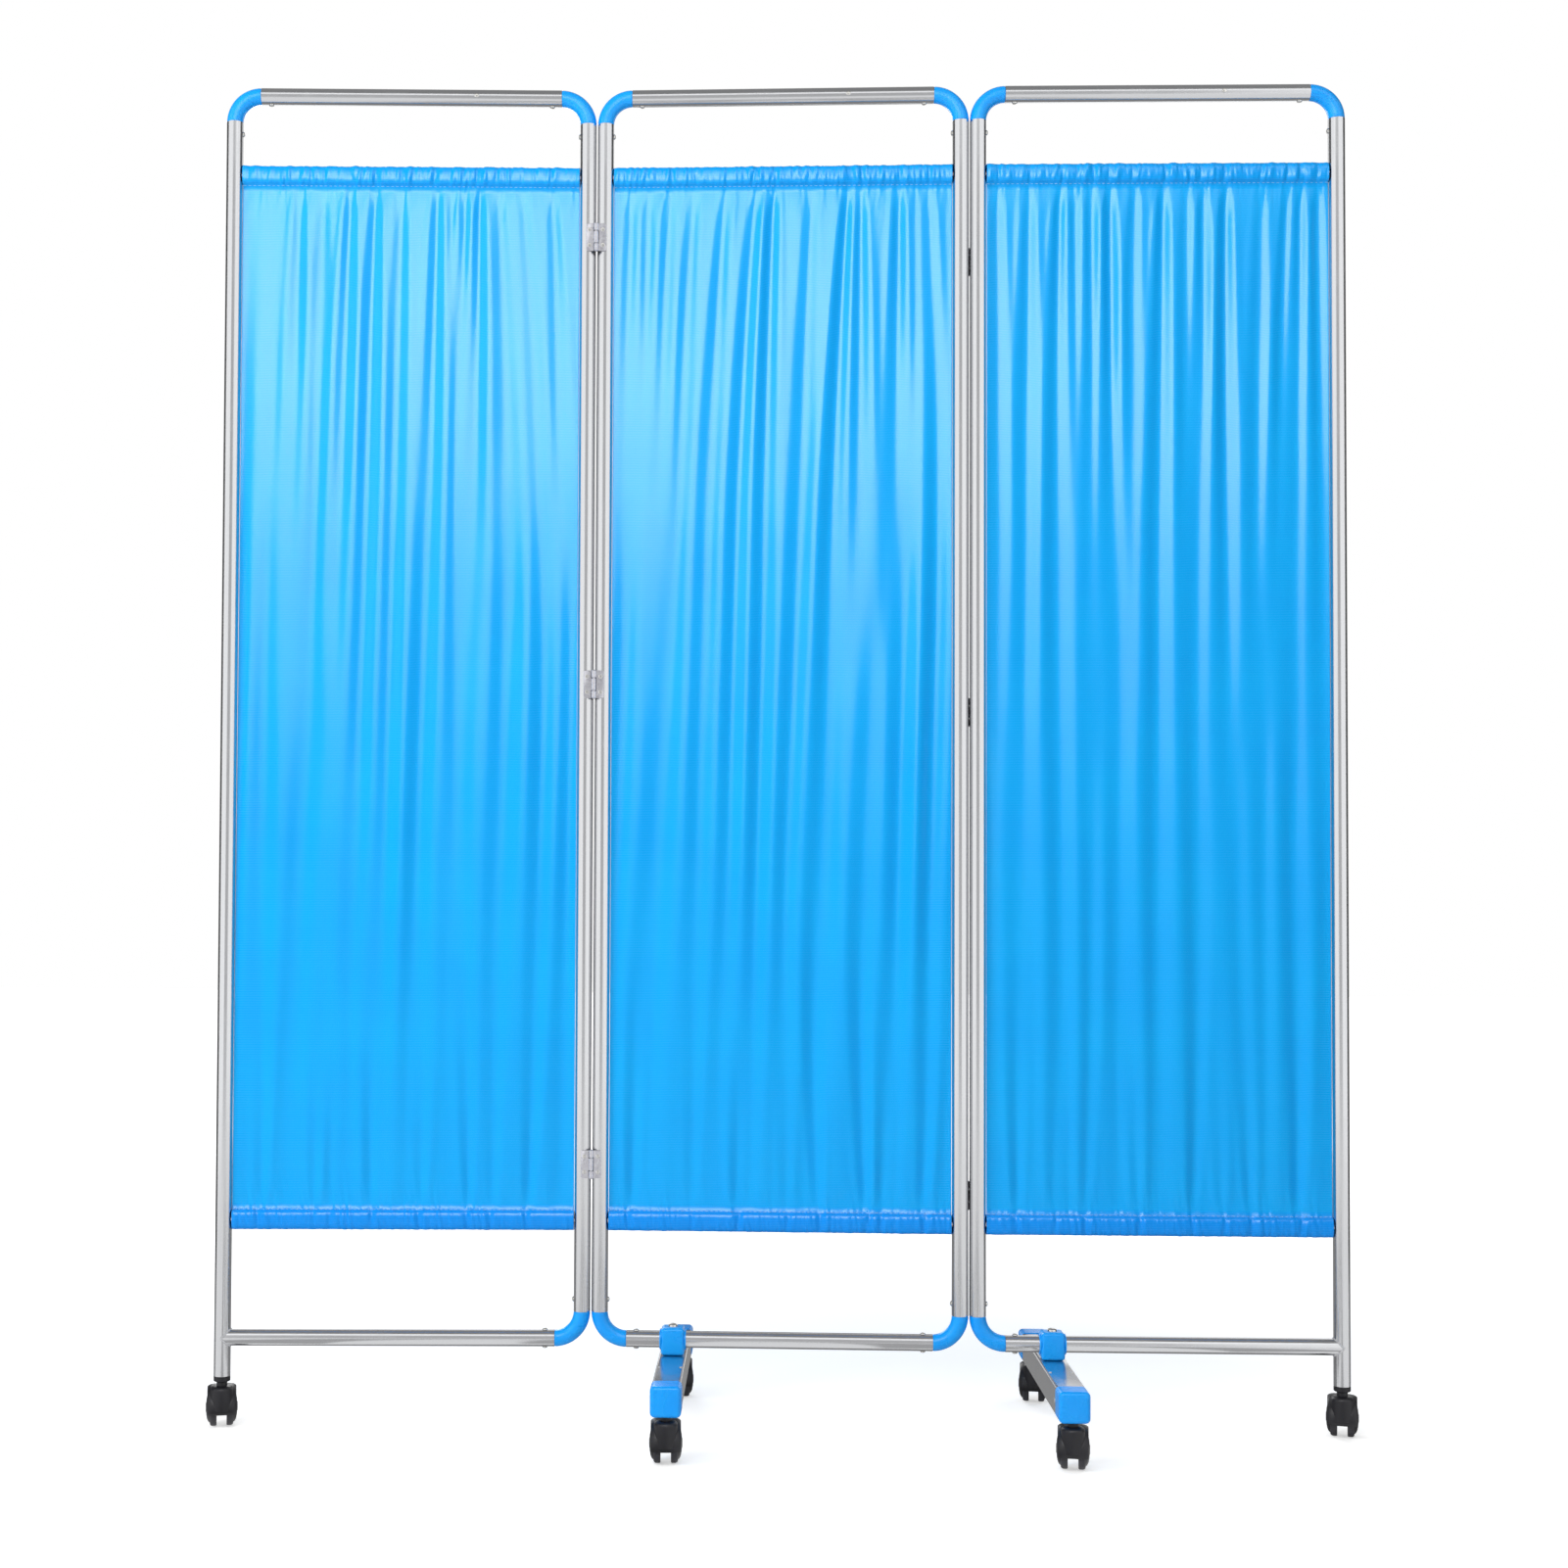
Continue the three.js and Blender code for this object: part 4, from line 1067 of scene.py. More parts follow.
# Share of the painted shade, a deeper blue, on doubled cloth. More light comes through the header, which
# hangs higher, than through the hem, so less shade is painted on it.
HEADER_PAINTED_SHADE, HEM_PAINTED_SHADE = 0.35, 0.85
# The flat width is the mean over every twelfth row.
MEASURED_ROWS = slice(None, None, 12)
curtains = {}
for panel in SIDE_OF:
    rows = curtain_rows(panel)
    shape = bmesh.new()
    add_rows(shape, rows, ring=False)
    mesh = bpy.data.meshes.new(panel)
    shape.to_mesh(mesh)
    shape.free()
    width = sum(path_length(row) for row in rows[MEASURED_ROWS]) / len(rows[MEASURED_ROWS])
    length = path_length([row[COLUMNS // 2] for row in rows])
    stretch = width / (2 * CLOTH_REACH)
    values = mesh.attributes.new("cloth_mm", "FLOAT_VECTOR", "POINT")
    index = 0
    down = 0.0
    for number, (above, row) in enumerate(zip([rows[0]] + rows, rows)):
        down += (Vector(row[COLUMNS // 2]) - Vector(above[COLUMNS // 2])).length
        # The casings' rows carry their share of painted shade: a deeper blue for less light through doubled
        # cloth.
        painted_shade = HEADER_PAINTED_SHADE if number <= CASING_STEPS else 0
        if number >= len(rows) - CASING_STEPS - 1:
            painted_shade = HEM_PAINTED_SHADE
        for point in row:
            values.data[index].vector = (point[0] * stretch, down, painted_shade)
            index += 1
    mesh.transform(place[panel] @ Matrix.Scale(MM, 4))
    mesh.shade_smooth()
    name = panel + "_curtain"
    made = finish_piece(name + "_satin", mesh, satin, panel + "_panel", [name])
    thickness = made.modifiers.new("Cloth", "SOLIDIFY")
    thickness.thickness = CLOTH_THICKNESS * MM
    thickness.offset = 0
    curtains[panel] = (made, round(width * MM, 3), round(length * MM, 3))
    print(name, "flat width and length:", curtains[panel][1:])

# %% [markdown]
# ## Geometry Nodes: stitches
# A lockstitch shows as a row of short pale dashes. Each dash is one small ball drawn out along the
# line, repeated along the cloth's own surface, front and back. The real thread is 0.3 mm thick, with a
# stitch every 3 mm; both are drawn about twice that, so that they show.

# %% Stitches
STITCH_PITCH, STITCH_LENGTH, THREAD_RADIUS = 6.5, 4.4, 0.36
SEAM_INSET = 0.5

stitch_tree, given = new_tree("Stitches along a line", [
    ("Pitch", "Float", 0.0065), ("Length", "Float", 0.0044), ("Thread", "Float", 0.0004),
    ("Material", "Material", None),
])
path = add(stitch_tree, "GeometryNodeMeshToCurve", {"Mesh": given.outputs["Geometry"]})
steps = add(stitch_tree, "GeometryNodeCurveToPoints", {
    "Curve": path.outputs[0], "Length": given.outputs["Pitch"],
}, mode="LENGTH")
half = add(stitch_tree, "ShaderNodeMath", {0: given.outputs["Length"], 1: 0.5}, operation="MULTIPLY")
dash = add(stitch_tree, "GeometryNodeMeshUVSphere", {"Segments": 6, "Rings": 5, "Radius": 1.0})
drawn = add(stitch_tree, "ShaderNodeCombineXYZ", {
    0: given.outputs["Thread"], 1: given.outputs["Thread"], 2: half.outputs[0],
})
row = add(stitch_tree, "GeometryNodeInstanceOnPoints", {
    "Points": steps.outputs["Points"], "Instance": dash.outputs[0], "Rotation": steps.outputs["Rotation"],
    "Scale": drawn.outputs[0],
})
smooth = add(stitch_tree, "GeometryNodeSetShadeSmooth", {"Geometry": row.outputs[0]})
end_tree(stitch_tree, smooth.outputs[0], given.outputs["Material"])

for panel in SIDE_OF:
    sewn = bmesh.new()
    for height in (STITCH_TOP - SEAM_INSET, STITCH_BOTTOM + SEAM_INSET):
        for layer in (-LAYER_GAP - CLOTH_THICKNESS / 2, LAYER_GAP + CLOTH_THICKNESS / 2):
            points = []
            for i in range(2, COLUMNS - 1):
                x = CLOTH_REACH * (2 * i / COLUMNS - 1)
                points.append(sewn.verts.new((x, sheet_depth(panel, x, height) + layer, height)))
            for a, b in zip(points, points[1:]):
                sewn.edges.new((a, b))
    base = bpy.data.meshes.new("stitch lines")
    sewn.to_mesh(base)
    sewn.free()
    base.transform(place[panel] @ Matrix.Scale(MM, 4))
    mesh = grown(
        stitch_tree, base, Pitch=STITCH_PITCH * MM, Length=STITCH_LENGTH * MM, Thread=THREAD_RADIUS * MM,
        Material=thread_white,
    )
    name = panel + "_curtain_stitches"
    stitches = finish_piece(name, mesh, thread_white, panel + "_panel")
    made, width, length = curtains[panel]
print("Curtains hung and stitched")

# %% [markdown]
# ## Hinges
# Six small butt hinges of pressed steel join the panels: the left line in front of the tubes, the right
# line behind. Each has two leaves with rounded corners, a rolled knuckle on each leaf, a pin with
# riveted ends, and two raised countersunk screws through each leaf into the tube. Folded flat, facing
# leaves come within 1 mm of each other, so a head stands less than 0.5 mm proud.

# %% Hinge leaves
HINGE_HEIGHTS = {"left": [0.196, 0.5515, 0.887], "right": [0.174, 0.532, 0.87]}
SCREEN_HEIGHT = 1800
HINGE_LEVELS = ["bottom", "middle", "top"]
HINGE_LENGTH = 37
LEAF_REACH, LEAF_ROOT = 13.5, 3.4
LEAF_FRONT, LEAF_BACK = 0.5, 2.0
LEAF_CORNER, LEAF_BEVEL, CORNER_STEPS = 2.2, 0.25, 5
KNUCKLE_RADIUS, PIN_RADIUS = 3.0, 1.5
KNUCKLE_CHAMFER, PIN_PLAY = 0.3, 0.25
# (radius, distance past the knuckles) of the pin's riveted ends.
PIN_HEAD = [(0, 1.1), (1.5, 0.9), (2.1, 0.3), (2.1, 0), (PIN_RADIUS, 0)]
# A knuckle's tab lies just inside the leaf's two faces.
TAB_INSET = 0.02
HINGE_SCREW_RISE = 10.5
HINGE_SCREW_PLACE = 8.9
MIDDLE_KNUCKLE_HALF, END_KNUCKLE = 8, 9.5


def leaf_outline():
    half = HINGE_LENGTH / 2
    points = [(LEAF_ROOT, -half), (LEAF_ROOT, half)]
    for end, turns in ((1, range(CORNER_STEPS, -1, -1)), (-1, range(0, -CORNER_STEPS - 1, -1))):
        for turn in turns:
            angle = math.pi / 2 * turn / CORNER_STEPS
            points.append((
                LEAF_REACH - LEAF_CORNER + LEAF_CORNER * math.cos(angle),
                end * (half - LEAF_CORNER) + LEAF_CORNER * math.sin(angle),
            ))
    return points


def hinge_half(spans, with_pin):
    """One leaf with its knuckles over the given spans, and a clear gap beside the other leaf's."""
    shape = bmesh.new()
    half = HINGE_LENGTH / 2
    middle = (LEAF_REACH + LEAF_ROOT) / 2
    rows = []
    for y, inset in ((LEAF_FRONT, LEAF_BEVEL), (LEAF_FRONT + LEAF_BEVEL, 0), (LEAF_BACK, 0)):
        kx = 1 - inset / (LEAF_REACH - middle)
        kz = 1 - inset / half
        rows.append([(middle + (x - middle) * kx, y, z * kz) for x, z in leaf_outline()])
    add_rows(shape, rows)
    bore, edge = PIN_RADIUS + PIN_PLAY, KNUCKLE_RADIUS - KNUCKLE_CHAMFER
    front, back = LEAF_FRONT + TAB_INSET, LEAF_BACK - TAB_INSET
    tab = [(0.4, front), (LEAF_ROOT + 1, front), (LEAF_ROOT + 1, back), (1.6, back)]
    for low, high in spans:
        turned(shape, [
            (bore, low), (edge, low), (KNUCKLE_RADIUS, low + KNUCKLE_CHAMFER),
            (KNUCKLE_RADIUS, high - KNUCKLE_CHAMFER), (edge, high), (bore, high),
        ], "z", 28, loop=True)
        add_rows(shape, [[(x, y, z) for x, y in tab] for z in (low + 0.1, high - 0.1)])
    if with_pin:
        lower = [(radius, -half - past) for radius, past in PIN_HEAD]
        upper = [(radius, half + past) for radius, past in reversed(PIN_HEAD)]
        turned(shape, lower + upper, "z", 24)
    return shape


for line in ("left", "right"):
    outer = SIDE_OF[line]
    flip = Matrix.Rotation(math.pi if outer > 0 else 0, 4, "Z")
    mirror_leaf = Matrix.Rotation(math.pi, 4, "Y")
    swung = Matrix.Rotation(math.radians(REST_TURN[line]), 4, "Z")
    fixed_screws, moving_screws = [], []
    for level, share in zip(HINGE_LEVELS, HINGE_HEIGHTS[line]):
        at = fold_line[line] @ placed(0, 0, share * SCREEN_HEIGHT)
        half = HINGE_LENGTH / 2
        fixed_at, moving_at = at @ flip, at @ swung @ flip @ mirror_leaf
        name = f"{line}_hinge_leaf_{level}"
        mesh = mesh_from(hinge_half([(-MIDDLE_KNUCKLE_HALF, MIDDLE_KNUCKLE_HALF)], True), moving_at)
        finish_piece(name + "_steel", mesh, zinc, line + "_panel", [name])
        ends = [(-half, -half + END_KNUCKLE), (half - END_KNUCKLE, half)]
        mesh = mesh_from(hinge_half(ends, False), fixed_at)
        finish_piece(f"middle_{name}_steel", mesh, zinc, "middle_panel")
        for rise in (-HINGE_SCREW_RISE, HINGE_SCREW_RISE):
            point = (HINGE_SCREW_PLACE, LEAF_FRONT, rise)
            fixed_screws.append((fixed_at, point, (0, -1, 0)))
            moving_screws.append((moving_at, point, (0, -1, 0)))
    fasteners(f"middle_{line}_hinge_screws", lens_head, fixed_screws, "middle_panel", seed=11)
    fasteners(f"{line}_hinge_screws", lens_head, moving_screws, line + "_panel", seed=12)
print("Hinges: 6, with 4 screws each")

# %% [markdown]
# ## Cross feet
# A moulded clamp grips the bottom rail and stands on a square steel bar, held by one bolt from above.
# A moulded cap closes each end of the bar and takes a caster's stem from below. Rounded blocks come
# from a box whose edges are bevelled; a little taper keeps the clamp from looking like a plain block.

# %% Rounded blocks
def rounded_block(low, high, rounding, segments):
    shape = bmesh.new()
    for vertex in bmesh.ops.create_cube(shape, size=1)["verts"]:
        vertex.co = Vector([l + (h - l) * (c + 0.5) for l, h, c in zip(low, high, vertex.co)])
    bmesh.ops.bevel(
        shape, geom=shape.edges[:], offset=rounding, segments=segments, profile=0.5, affect="EDGES"
    )
    return shape


def rounded_square(half, corner, steps=5):
    points = []
    for quarter in range(4):
        cx = (half - corner) * (1 if quarter in (0, 3) else -1)
        cz = (half - corner) * (1 if quarter in (0, 1) else -1)
        for i in range(steps + 1):
            angle = math.pi / 2 * (quarter + i / steps)
            points.append((cx + corner * math.cos(angle), cz + corner * math.sin(angle)))
    return points


# %% [markdown]
# The clamp narrows a little towards its top and towards the bar, and has a collar on both sides of the
# rail. The bar is a square tube with rounded corners. Its caps are rounded squares that close in at their
# ends, each with a plug that fits into the bar.

# %% Clamps, bars and caps
FOOT_X = -141
BAR_HALF, BAR_WALL, BAR_CORNER, BAR_BORE_CORNER = 18.5, 2, 3, 1
BAR_CENTRE = 82.5
BAR_END = 155.7
STUD_X, STUD_Y = 14, 78
RIVET_INSET = 10
CAP_START, CAP_END, CAP_HALF = 156, 190, 19.5
CAP_ROUNDING, CAP_STEPS, CAP_CORNER, CAP_END_CORNER = 5, 7, 6, 1.5
# The cap's chamfer where it meets the bar, along it and across.
CAP_LIP = (0.8, 0.7)
PLUG_LENGTH, PLUG_PLAY = 20, 0.3
CLAMP_HALF_WIDTH, CLAMP_HALF_DEPTH = 16.5, 14.3
CLAMP_BOTTOM, CLAMP_TOP = 101.3, 137.5
CLAMP_ROUNDING, ROUNDING_STEPS = 4.2, 6
# By what share the clamp narrows towards its top and towards the bar.
TOP_TAPER, BOTTOM_TAPER = 0.1, 0.07
# (height over the rail, distance from the clamp's middle) of the collar on both sides of the clamp.
COLLAR = [(0.1, 15.4), (2.6, 15.4), (2.6, 16.9), (2.0, 17.5), (0.1, 17.5)]
CASTER_Y = 173
FEET = ("middle", "right")


def clamp_mesh(at):
    shape = rounded_block(
        (-CLAMP_HALF_WIDTH, -CLAMP_HALF_DEPTH, CLAMP_BOTTOM),
        (CLAMP_HALF_WIDTH, CLAMP_HALF_DEPTH, CLAMP_TOP), CLAMP_ROUNDING, ROUNDING_STEPS,
    )
    for vertex in shape.verts:
        rise = (vertex.co.z - BOTTOM_RAIL) / (CLAMP_TOP - BOTTOM_RAIL)
        drop = (BOTTOM_RAIL - vertex.co.z) / (BOTTOM_RAIL - CLAMP_BOTTOM)
        vertex.co.x *= 1 - TOP_TAPER * max(0.0, rise) ** 1.5 - BOTTOM_TAPER * max(0.0, drop)
    rail_at = Matrix.Translation((0, 0, BOTTOM_RAIL))
    for side in (-1, 1):
        profile = [(TUBE_RADIUS + over, side * out) for over, out in COLLAR]
        turned(shape, profile, "x", at=rail_at, loop=True)
    return mesh_from(shape, at)


def bar_mesh(at):
    shape = bmesh.new()
    outer = rounded_square(BAR_HALF, BAR_CORNER)
    inner = rounded_square(BAR_HALF - BAR_WALL, BAR_BORE_CORNER)
    rows = [[(x, y, BAR_CENTRE + z) for x, z in points] for points, y in (
        (outer, -BAR_END), (outer, BAR_END), (inner, BAR_END), (inner, -BAR_END),
    )]
    add_rows(shape, rows, loop=True)
    return with_grain(mesh_from(shape, at), at, "y")


def cap_mesh(at, end):
    """end is -1 for the front cap and 1 for the rear one."""
    shape = bmesh.new()
    stations = [(CAP_START, CAP_LIP[1]), (CAP_START + CAP_LIP[0], 0.0)]
    for i in range(CAP_STEPS + 1):
        angle = math.pi / 2 * i / CAP_STEPS
        rounded_end = CAP_END - CAP_ROUNDING + CAP_ROUNDING * math.sin(angle)
        stations.append((rounded_end, CAP_ROUNDING - CAP_ROUNDING * math.cos(angle)))
    rows = []
    for y, inset in stations:
        outline = rounded_square(CAP_HALF - inset, max(CAP_END_CORNER, CAP_CORNER - inset * 0.8), 6)
        rows.append([(x, end * y, BAR_CENTRE + z) for x, z in outline])
    add_rows(shape, rows)
    plug = rounded_square(BAR_HALF - BAR_WALL - PLUG_PLAY, BAR_BORE_CORNER)
    plug_ends = (CAP_START - PLUG_LENGTH, CAP_START + 1)
    add_rows(shape, [[(x, end * y, BAR_CENTRE + z) for x, z in plug] for y in plug_ends])
    return mesh_from(shape, at)


for foot in FEET:
    body = foot + "_panel"
    at = place[foot] @ placed(FOOT_X, 0)
    name = foot + "_foot_clamp"
    finish_piece(name + "_moulding", clamp_mesh(at), blue_plastic, body, [name])
    name = foot + "_foot_bar"
    finish_piece(name + "_tube", bar_mesh(at), steel, body, [name])
    rivets, studs = [], []
    for label, end in (("front", -1), ("rear", 1)):
        name = f"{foot}_foot_cap_{label}"
        finish_piece(name + "_moulding", cap_mesh(at, end), blue_plastic, body, [name])
        for side in (-1, 1):
            rivets.append((at, (side * BAR_HALF, end * (BAR_END - RIVET_INSET), BAR_CENTRE), (side, 0, 0)))
            studs.append((at, (side * STUD_X, end * STUD_Y, BAR_CENTRE + BAR_HALF), (0, 0, 1)))
    fasteners(f"{foot}_foot_rivets", rivet_head, rivets, body)
    fasteners(f"{foot}_foot_studs", stud_head, studs, body)
    fasteners(f"{foot}_clamp_bolt", bolt_head, [(at, (0, 0, CLAMP_TOP), (0, 0, 1))], body)
print("Feet:", ", ".join(FEET))

# %% [markdown]
# ## Casters
# Each caster is a hood over two wheels: a barrel-shaped shell round the top, a web between the wheels
# that carries the axle, and a neck with the swivel stem. The hood is a cross-section swept round the
# axle, and the wheels are turned, with a rounded tread and a domed face that has a ring groove.

# %% Caster shapes
AXLE_HEIGHT, CASTER_TRAIL = 24.52, 18
HOOD_HALF, HOOD_RADIUS, HOOD_WALL = 19, 30.5, 3
HOOD_FROM, HOOD_TO = math.radians(20), math.radians(190)
HOOD_STEPS = 40
# Stations across half the hood, as shares of its half width, close together near its rounded edge.
HOOD_STATIONS = [0, 0.2, 0.4, 0.58, 0.74, 0.86, 0.94, 0.985, 1]
# How far the hood's barrel shape falls at its sides, and what its rolled edge takes off beside that.
HOOD_FALL, HOOD_EDGE = 3.4, 0.6
# The inside of the wall, as shares of the outside's width and fall.
INNER_WIDTH, INNER_FALL = 0.96, 0.75
# The hood's two free edges are drawn in by this share over this many steps, which rounds them.
EASE_SHARE, EASE_STEPS = 0.035, 1.5
TREAD_RADIUS = 24.5
WEB_HALF, WEB_RADIUS, WEB_STEPS = 4.5, 29, 24
AXLE_RADIUS, AXLE_HALF, AXLE_BOSS = 3, 8, 7
AXLE_AT = Matrix.Translation((0, CASTER_TRAIL, AXLE_HEIGHT))
# (radius, height) of the shoulder that carries the stem, from its foot to its top.
SHOULDER_PROFILE = [
    (0.5, 24), (15, 24), (15, 51.2), (14.6, 53.2), (13.6, 54.8), (11.9, 56.0), (9.4, 56.7), (7.4, 57),
    (0.5, 57),
]
# The same of the neck above it, and of the swivel stem with the groove for its ring.
NECK_PROFILE = [(0, 54), (7, 54), (7, 61.9), (6.3, 62.6), (0, 62.6)]
STEM_PROFILE = [(0, 62), (5, 62), (5, 86), (4.1, 87), (4.1, 89), (5, 90), (4, 92), (0, 92)]


def hood_section():
    """(x, radius) round the hood's wall: outside from left to right, then inside back."""
    shares = [-k for k in reversed(HOOD_STATIONS[1:])] + HOOD_STATIONS
    xs = [HOOD_HALF * k for k in shares]
    drop = {x: HOOD_FALL * abs(x / HOOD_HALF) ** 6 for x in xs}
    outside = [(x, HOOD_RADIUS - drop[x]) for x in xs]
    for end in (0, -1):
        outside[end] = (xs[end], outside[end][1] - HOOD_EDGE)
    inside = [(x * INNER_WIDTH, HOOD_RADIUS - HOOD_WALL - INNER_FALL * drop[x]) for x in reversed(xs)]
    return outside + inside


def around_axle(x, radius, step, steps):
    """A point of the hood's sweep, which runs round the axle in the given number of steps."""
    angle = HOOD_FROM + (HOOD_TO - HOOD_FROM) * step / steps
    return (x, CASTER_TRAIL + radius * math.cos(angle), AXLE_HEIGHT + radius * math.sin(angle))


def hood_shape():
    shape = bmesh.new()
    section = hood_section()
    rows = []
    for i in range(HOOD_STEPS + 1):
        ease = 1 - EASE_SHARE * max(0.0, 1 - min(i, HOOD_STEPS - i) / EASE_STEPS)
        rows.append([around_axle(x, radius * ease, i, HOOD_STEPS) for x, radius in section])
    add_rows(shape, rows)
    web = []
    for x in (-WEB_HALF, WEB_HALF):
        edge = [around_axle(x, WEB_RADIUS, i, WEB_STEPS) for i in range(WEB_STEPS + 1)]
        edge.append((x, CASTER_TRAIL - 6, AXLE_HEIGHT - 5.5))
        edge.append((x, CASTER_TRAIL + 5, AXLE_HEIGHT - 5))
        web.append(edge)
    add_rows(shape, web)
    boss = WEB_HALF + 1
    turned(shape, [(0, -boss), (AXLE_BOSS, -boss), (AXLE_BOSS, boss), (0, boss)], "x", 32, AXLE_AT)
    # The shoulder's foot is cut along the wheel room, so that its skirt hides inside the shell.
    room = HOOD_RADIUS - HOOD_WALL / 2
    sides = 48
    shoulder = []
    for radius, height in SHOULDER_PROFILE:
        row = []
        for i in range(sides):
            angle = 2 * math.pi * i / sides
            x, y = radius * math.cos(angle), radius * math.sin(angle)
            shell_top = AXLE_HEIGHT + math.sqrt(max(0.0, room ** 2 - (y - CASTER_TRAIL) ** 2))
            row.append((x, y, max(height, shell_top)))
        shoulder.append(row)
    add_rows(shape, shoulder)
    turned(shape, NECK_PROFILE, "z", 40)
    return shape


def stem_shape():
    shape = bmesh.new()
    turned(shape, STEM_PROFILE, "z", 32)
    return shape


# (radius, distance from the caster's middle) of a wheel's disc, from its hub cap over the ring groove to
# its inner face, and of its tread.
WHEEL_DISC = [
    (0, 20.3), (3.2, 20.3), (3.6, 20.8), (5.4, 20.9), (6.0, 20.4), (10, 20.1), (12.6, 19.6), (13.0, 19.1),
    (13.6, 19.05), (14.1, 19.4), (17, 18.4), (19.2, 17.0), (20.6, 15.3), (21.2, 14.0), (21.2, 7.2), (3, 7.2),
    (0, 7.2),
]
WHEEL_TREAD = [
    (20.8, 6.5), (23.4, 6.5), (24.1, 6.9), (TREAD_RADIUS, 8.0), (TREAD_RADIUS, 12.0), (24.1, 13.5),
    (23.2, 14.7), (22.0, 15.2), (20.8, 15.0),
]
WHEEL_SIDES = 64


def wheel_shapes():
    """The two wheels' discs and, separately, their treads."""
    discs, treads = bmesh.new(), bmesh.new()
    for side in (-1, 1):
        turned(discs, [(radius, side * out) for radius, out in WHEEL_DISC], "x", WHEEL_SIDES, AXLE_AT)
        tread = [(radius, side * out) for radius, out in WHEEL_TREAD]
        turned(treads, tread, "x", WHEEL_SIDES, AXLE_AT, loop=True)
    axle = [(0, -AXLE_HALF), (AXLE_RADIUS, -AXLE_HALF), (AXLE_RADIUS, AXLE_HALF), (0, AXLE_HALF)]
    turned(discs, axle, "x", 24, AXLE_AT)
    return discs, treads


# %% [markdown]
# All six casters come from the same shapes, and each is turned about its stem as it stands in the
# photograph. A moulded socket in the foot of both outer posts takes the stems there.

# %% Casters in their places
SWIVEL = {
    "left_outer": 12, "right_outer": -16, "middle_front": 3, "middle_rear": 2, "right_front": -9,
    "right_rear": -8,
}
CASTERS = {
    "left_outer": place["left"] @ placed(-POST_REACH, 0),
    "right_outer": place["right"] @ placed(POST_REACH, 0),
    "middle_front": place["middle"] @ placed(FOOT_X, -CASTER_Y),
    "middle_rear": place["middle"] @ placed(FOOT_X, CASTER_Y),
    "right_front": place["right"] @ placed(FOOT_X, -CASTER_Y),
    "right_rear": place["right"] @ placed(FOOT_X, CASTER_Y),
}
for name, at in CASTERS.items():
    at = at @ Matrix.Rotation(math.radians(SWIVEL[name]), 4, "Z")
    caster, wheels = name + "_caster", name + "_wheels"
    mesh, stands_for = mesh_from(hood_shape(), at), [name + "_caster_hood"]
    finish_piece(name + "_hood_moulding", mesh, black_nylon, caster, stands_for)
    finish_piece(name + "_stem_steel", mesh_from(stem_shape(), at), zinc, caster)
    discs, treads = wheel_shapes()
    mesh, stands_for = mesh_from(discs, at), [name + "_caster_wheels"]
    finish_piece(name + "_wheel_discs", mesh, black_nylon, wheels, stands_for)
    finish_piece(name + "_wheel_treads", mesh_from(treads, at), tread_rubber, wheels)

# (radius, height) of the socket that plugs into an outer post: its collar, then its sleeve.
SOCKET_PROFILE = [
    (5.3, 63), (10.2, 63), (11, 63.8), (11, 69.2), (10.6, 69.7), (9.6, 69.7), (9.6, 101), (8.8, 102),
    (5.3, 102),
]
for panel in ("left", "right"):
    shape = bmesh.new()
    turned(shape, SOCKET_PROFILE, "z", loop=True)
    at = place[panel] @ placed(SIDE_OF[panel] * POST_REACH, 0)
    name, body = panel + "_caster_socket", panel + "_panel"
    finish_piece(name + "_moulding", mesh_from(shape, at), black_nylon, body, [name])
print("Casters:", len(CASTERS))

# %% [markdown]
# ## Floor, world and light
# The screen stands on a plain white floor in a soft studio. The floor and the world are white to the
# camera and to reflections, which costs the object no extra light. The key soft box, high in front on the
# left, gives the satin its pale sheen near the top, and a weaker one below it lets that sheen fade out
# halfway down, as in the photograph. The larger box beside them only fills: its own reflection would lay
# a haze over the deep blue lower down, so it has none.

# %% Floor and world
def white_to_camera(tree):
    ray = add(tree, "ShaderNodeLightPath")
    first = add(tree, "ShaderNodeMath", {
        0: ray.outputs["Is Camera Ray"], 1: ray.outputs["Is Glossy Ray"],
    }, operation="MAXIMUM")
    return add(tree, "ShaderNodeMath", {
        0: first.outputs[0], 1: ray.outputs["Is Transmission Ray"],
    }, operation="MAXIMUM").outputs[0]


# In metres: the floor lies a hair under the wheels, and its glow rises to white over this distance.
FLOOR_SIZE = 24
FLOOR_DROP = 0.0004
GLOW_FROM, GLOW_TO = 0.8, 2.6
floor_shape = bmesh.new()
bmesh.ops.create_grid(floor_shape, x_segments=1, y_segments=1, size=FLOOR_SIZE / 2)
floor_mesh = bpy.data.meshes.new("floor")
floor_shape.to_mesh(floor_mesh)
floor_shape.free()
floor_mesh.transform(Matrix.Translation((0, 0, -FLOOR_DROP)))
floor = linked("studio_floor", floor_mesh)

floor_paint, tree, shader = new_material("Matt white studio floor", Roughness=0.9, Specular_IOR_Level=0.1)
where = add(tree, "ShaderNodeTexCoord")
mottle = add(tree, "ShaderNodeTexNoise", {"Vector": where.outputs["Object"], "Scale": 3.0, "Detail": 2.0})
tint = add(tree, "ShaderNodeMix", {
    0: mottle.outputs["Fac"], MIX_A: linear("#eceded"), MIX_B: linear("#f2f2f2"),
}, data_type="RGBA")
tree.links.new(tint.outputs[MIX_RESULT], shader.inputs["Base Color"])
shader.inputs["Emission Color"].default_value = (1, 1, 1, 1)
distance = add(tree, "ShaderNodeVectorMath", {0: where.outputs["Object"]}, operation="LENGTH")
rising = add(tree, "ShaderNodeMapRange", {
    "Value": distance.outputs["Value"], "From Min": GLOW_FROM, "From Max": GLOW_TO,
    "To Min": 0.5, "To Max": 1.0,
})
glow = add(tree, "ShaderNodeMath", {0: white_to_camera(tree), 1: rising.outputs[0]}, operation="MULTIPLY")
tree.links.new(glow.outputs[0], shader.inputs["Emission Strength"])
floor_mesh.materials.append(floor_paint)

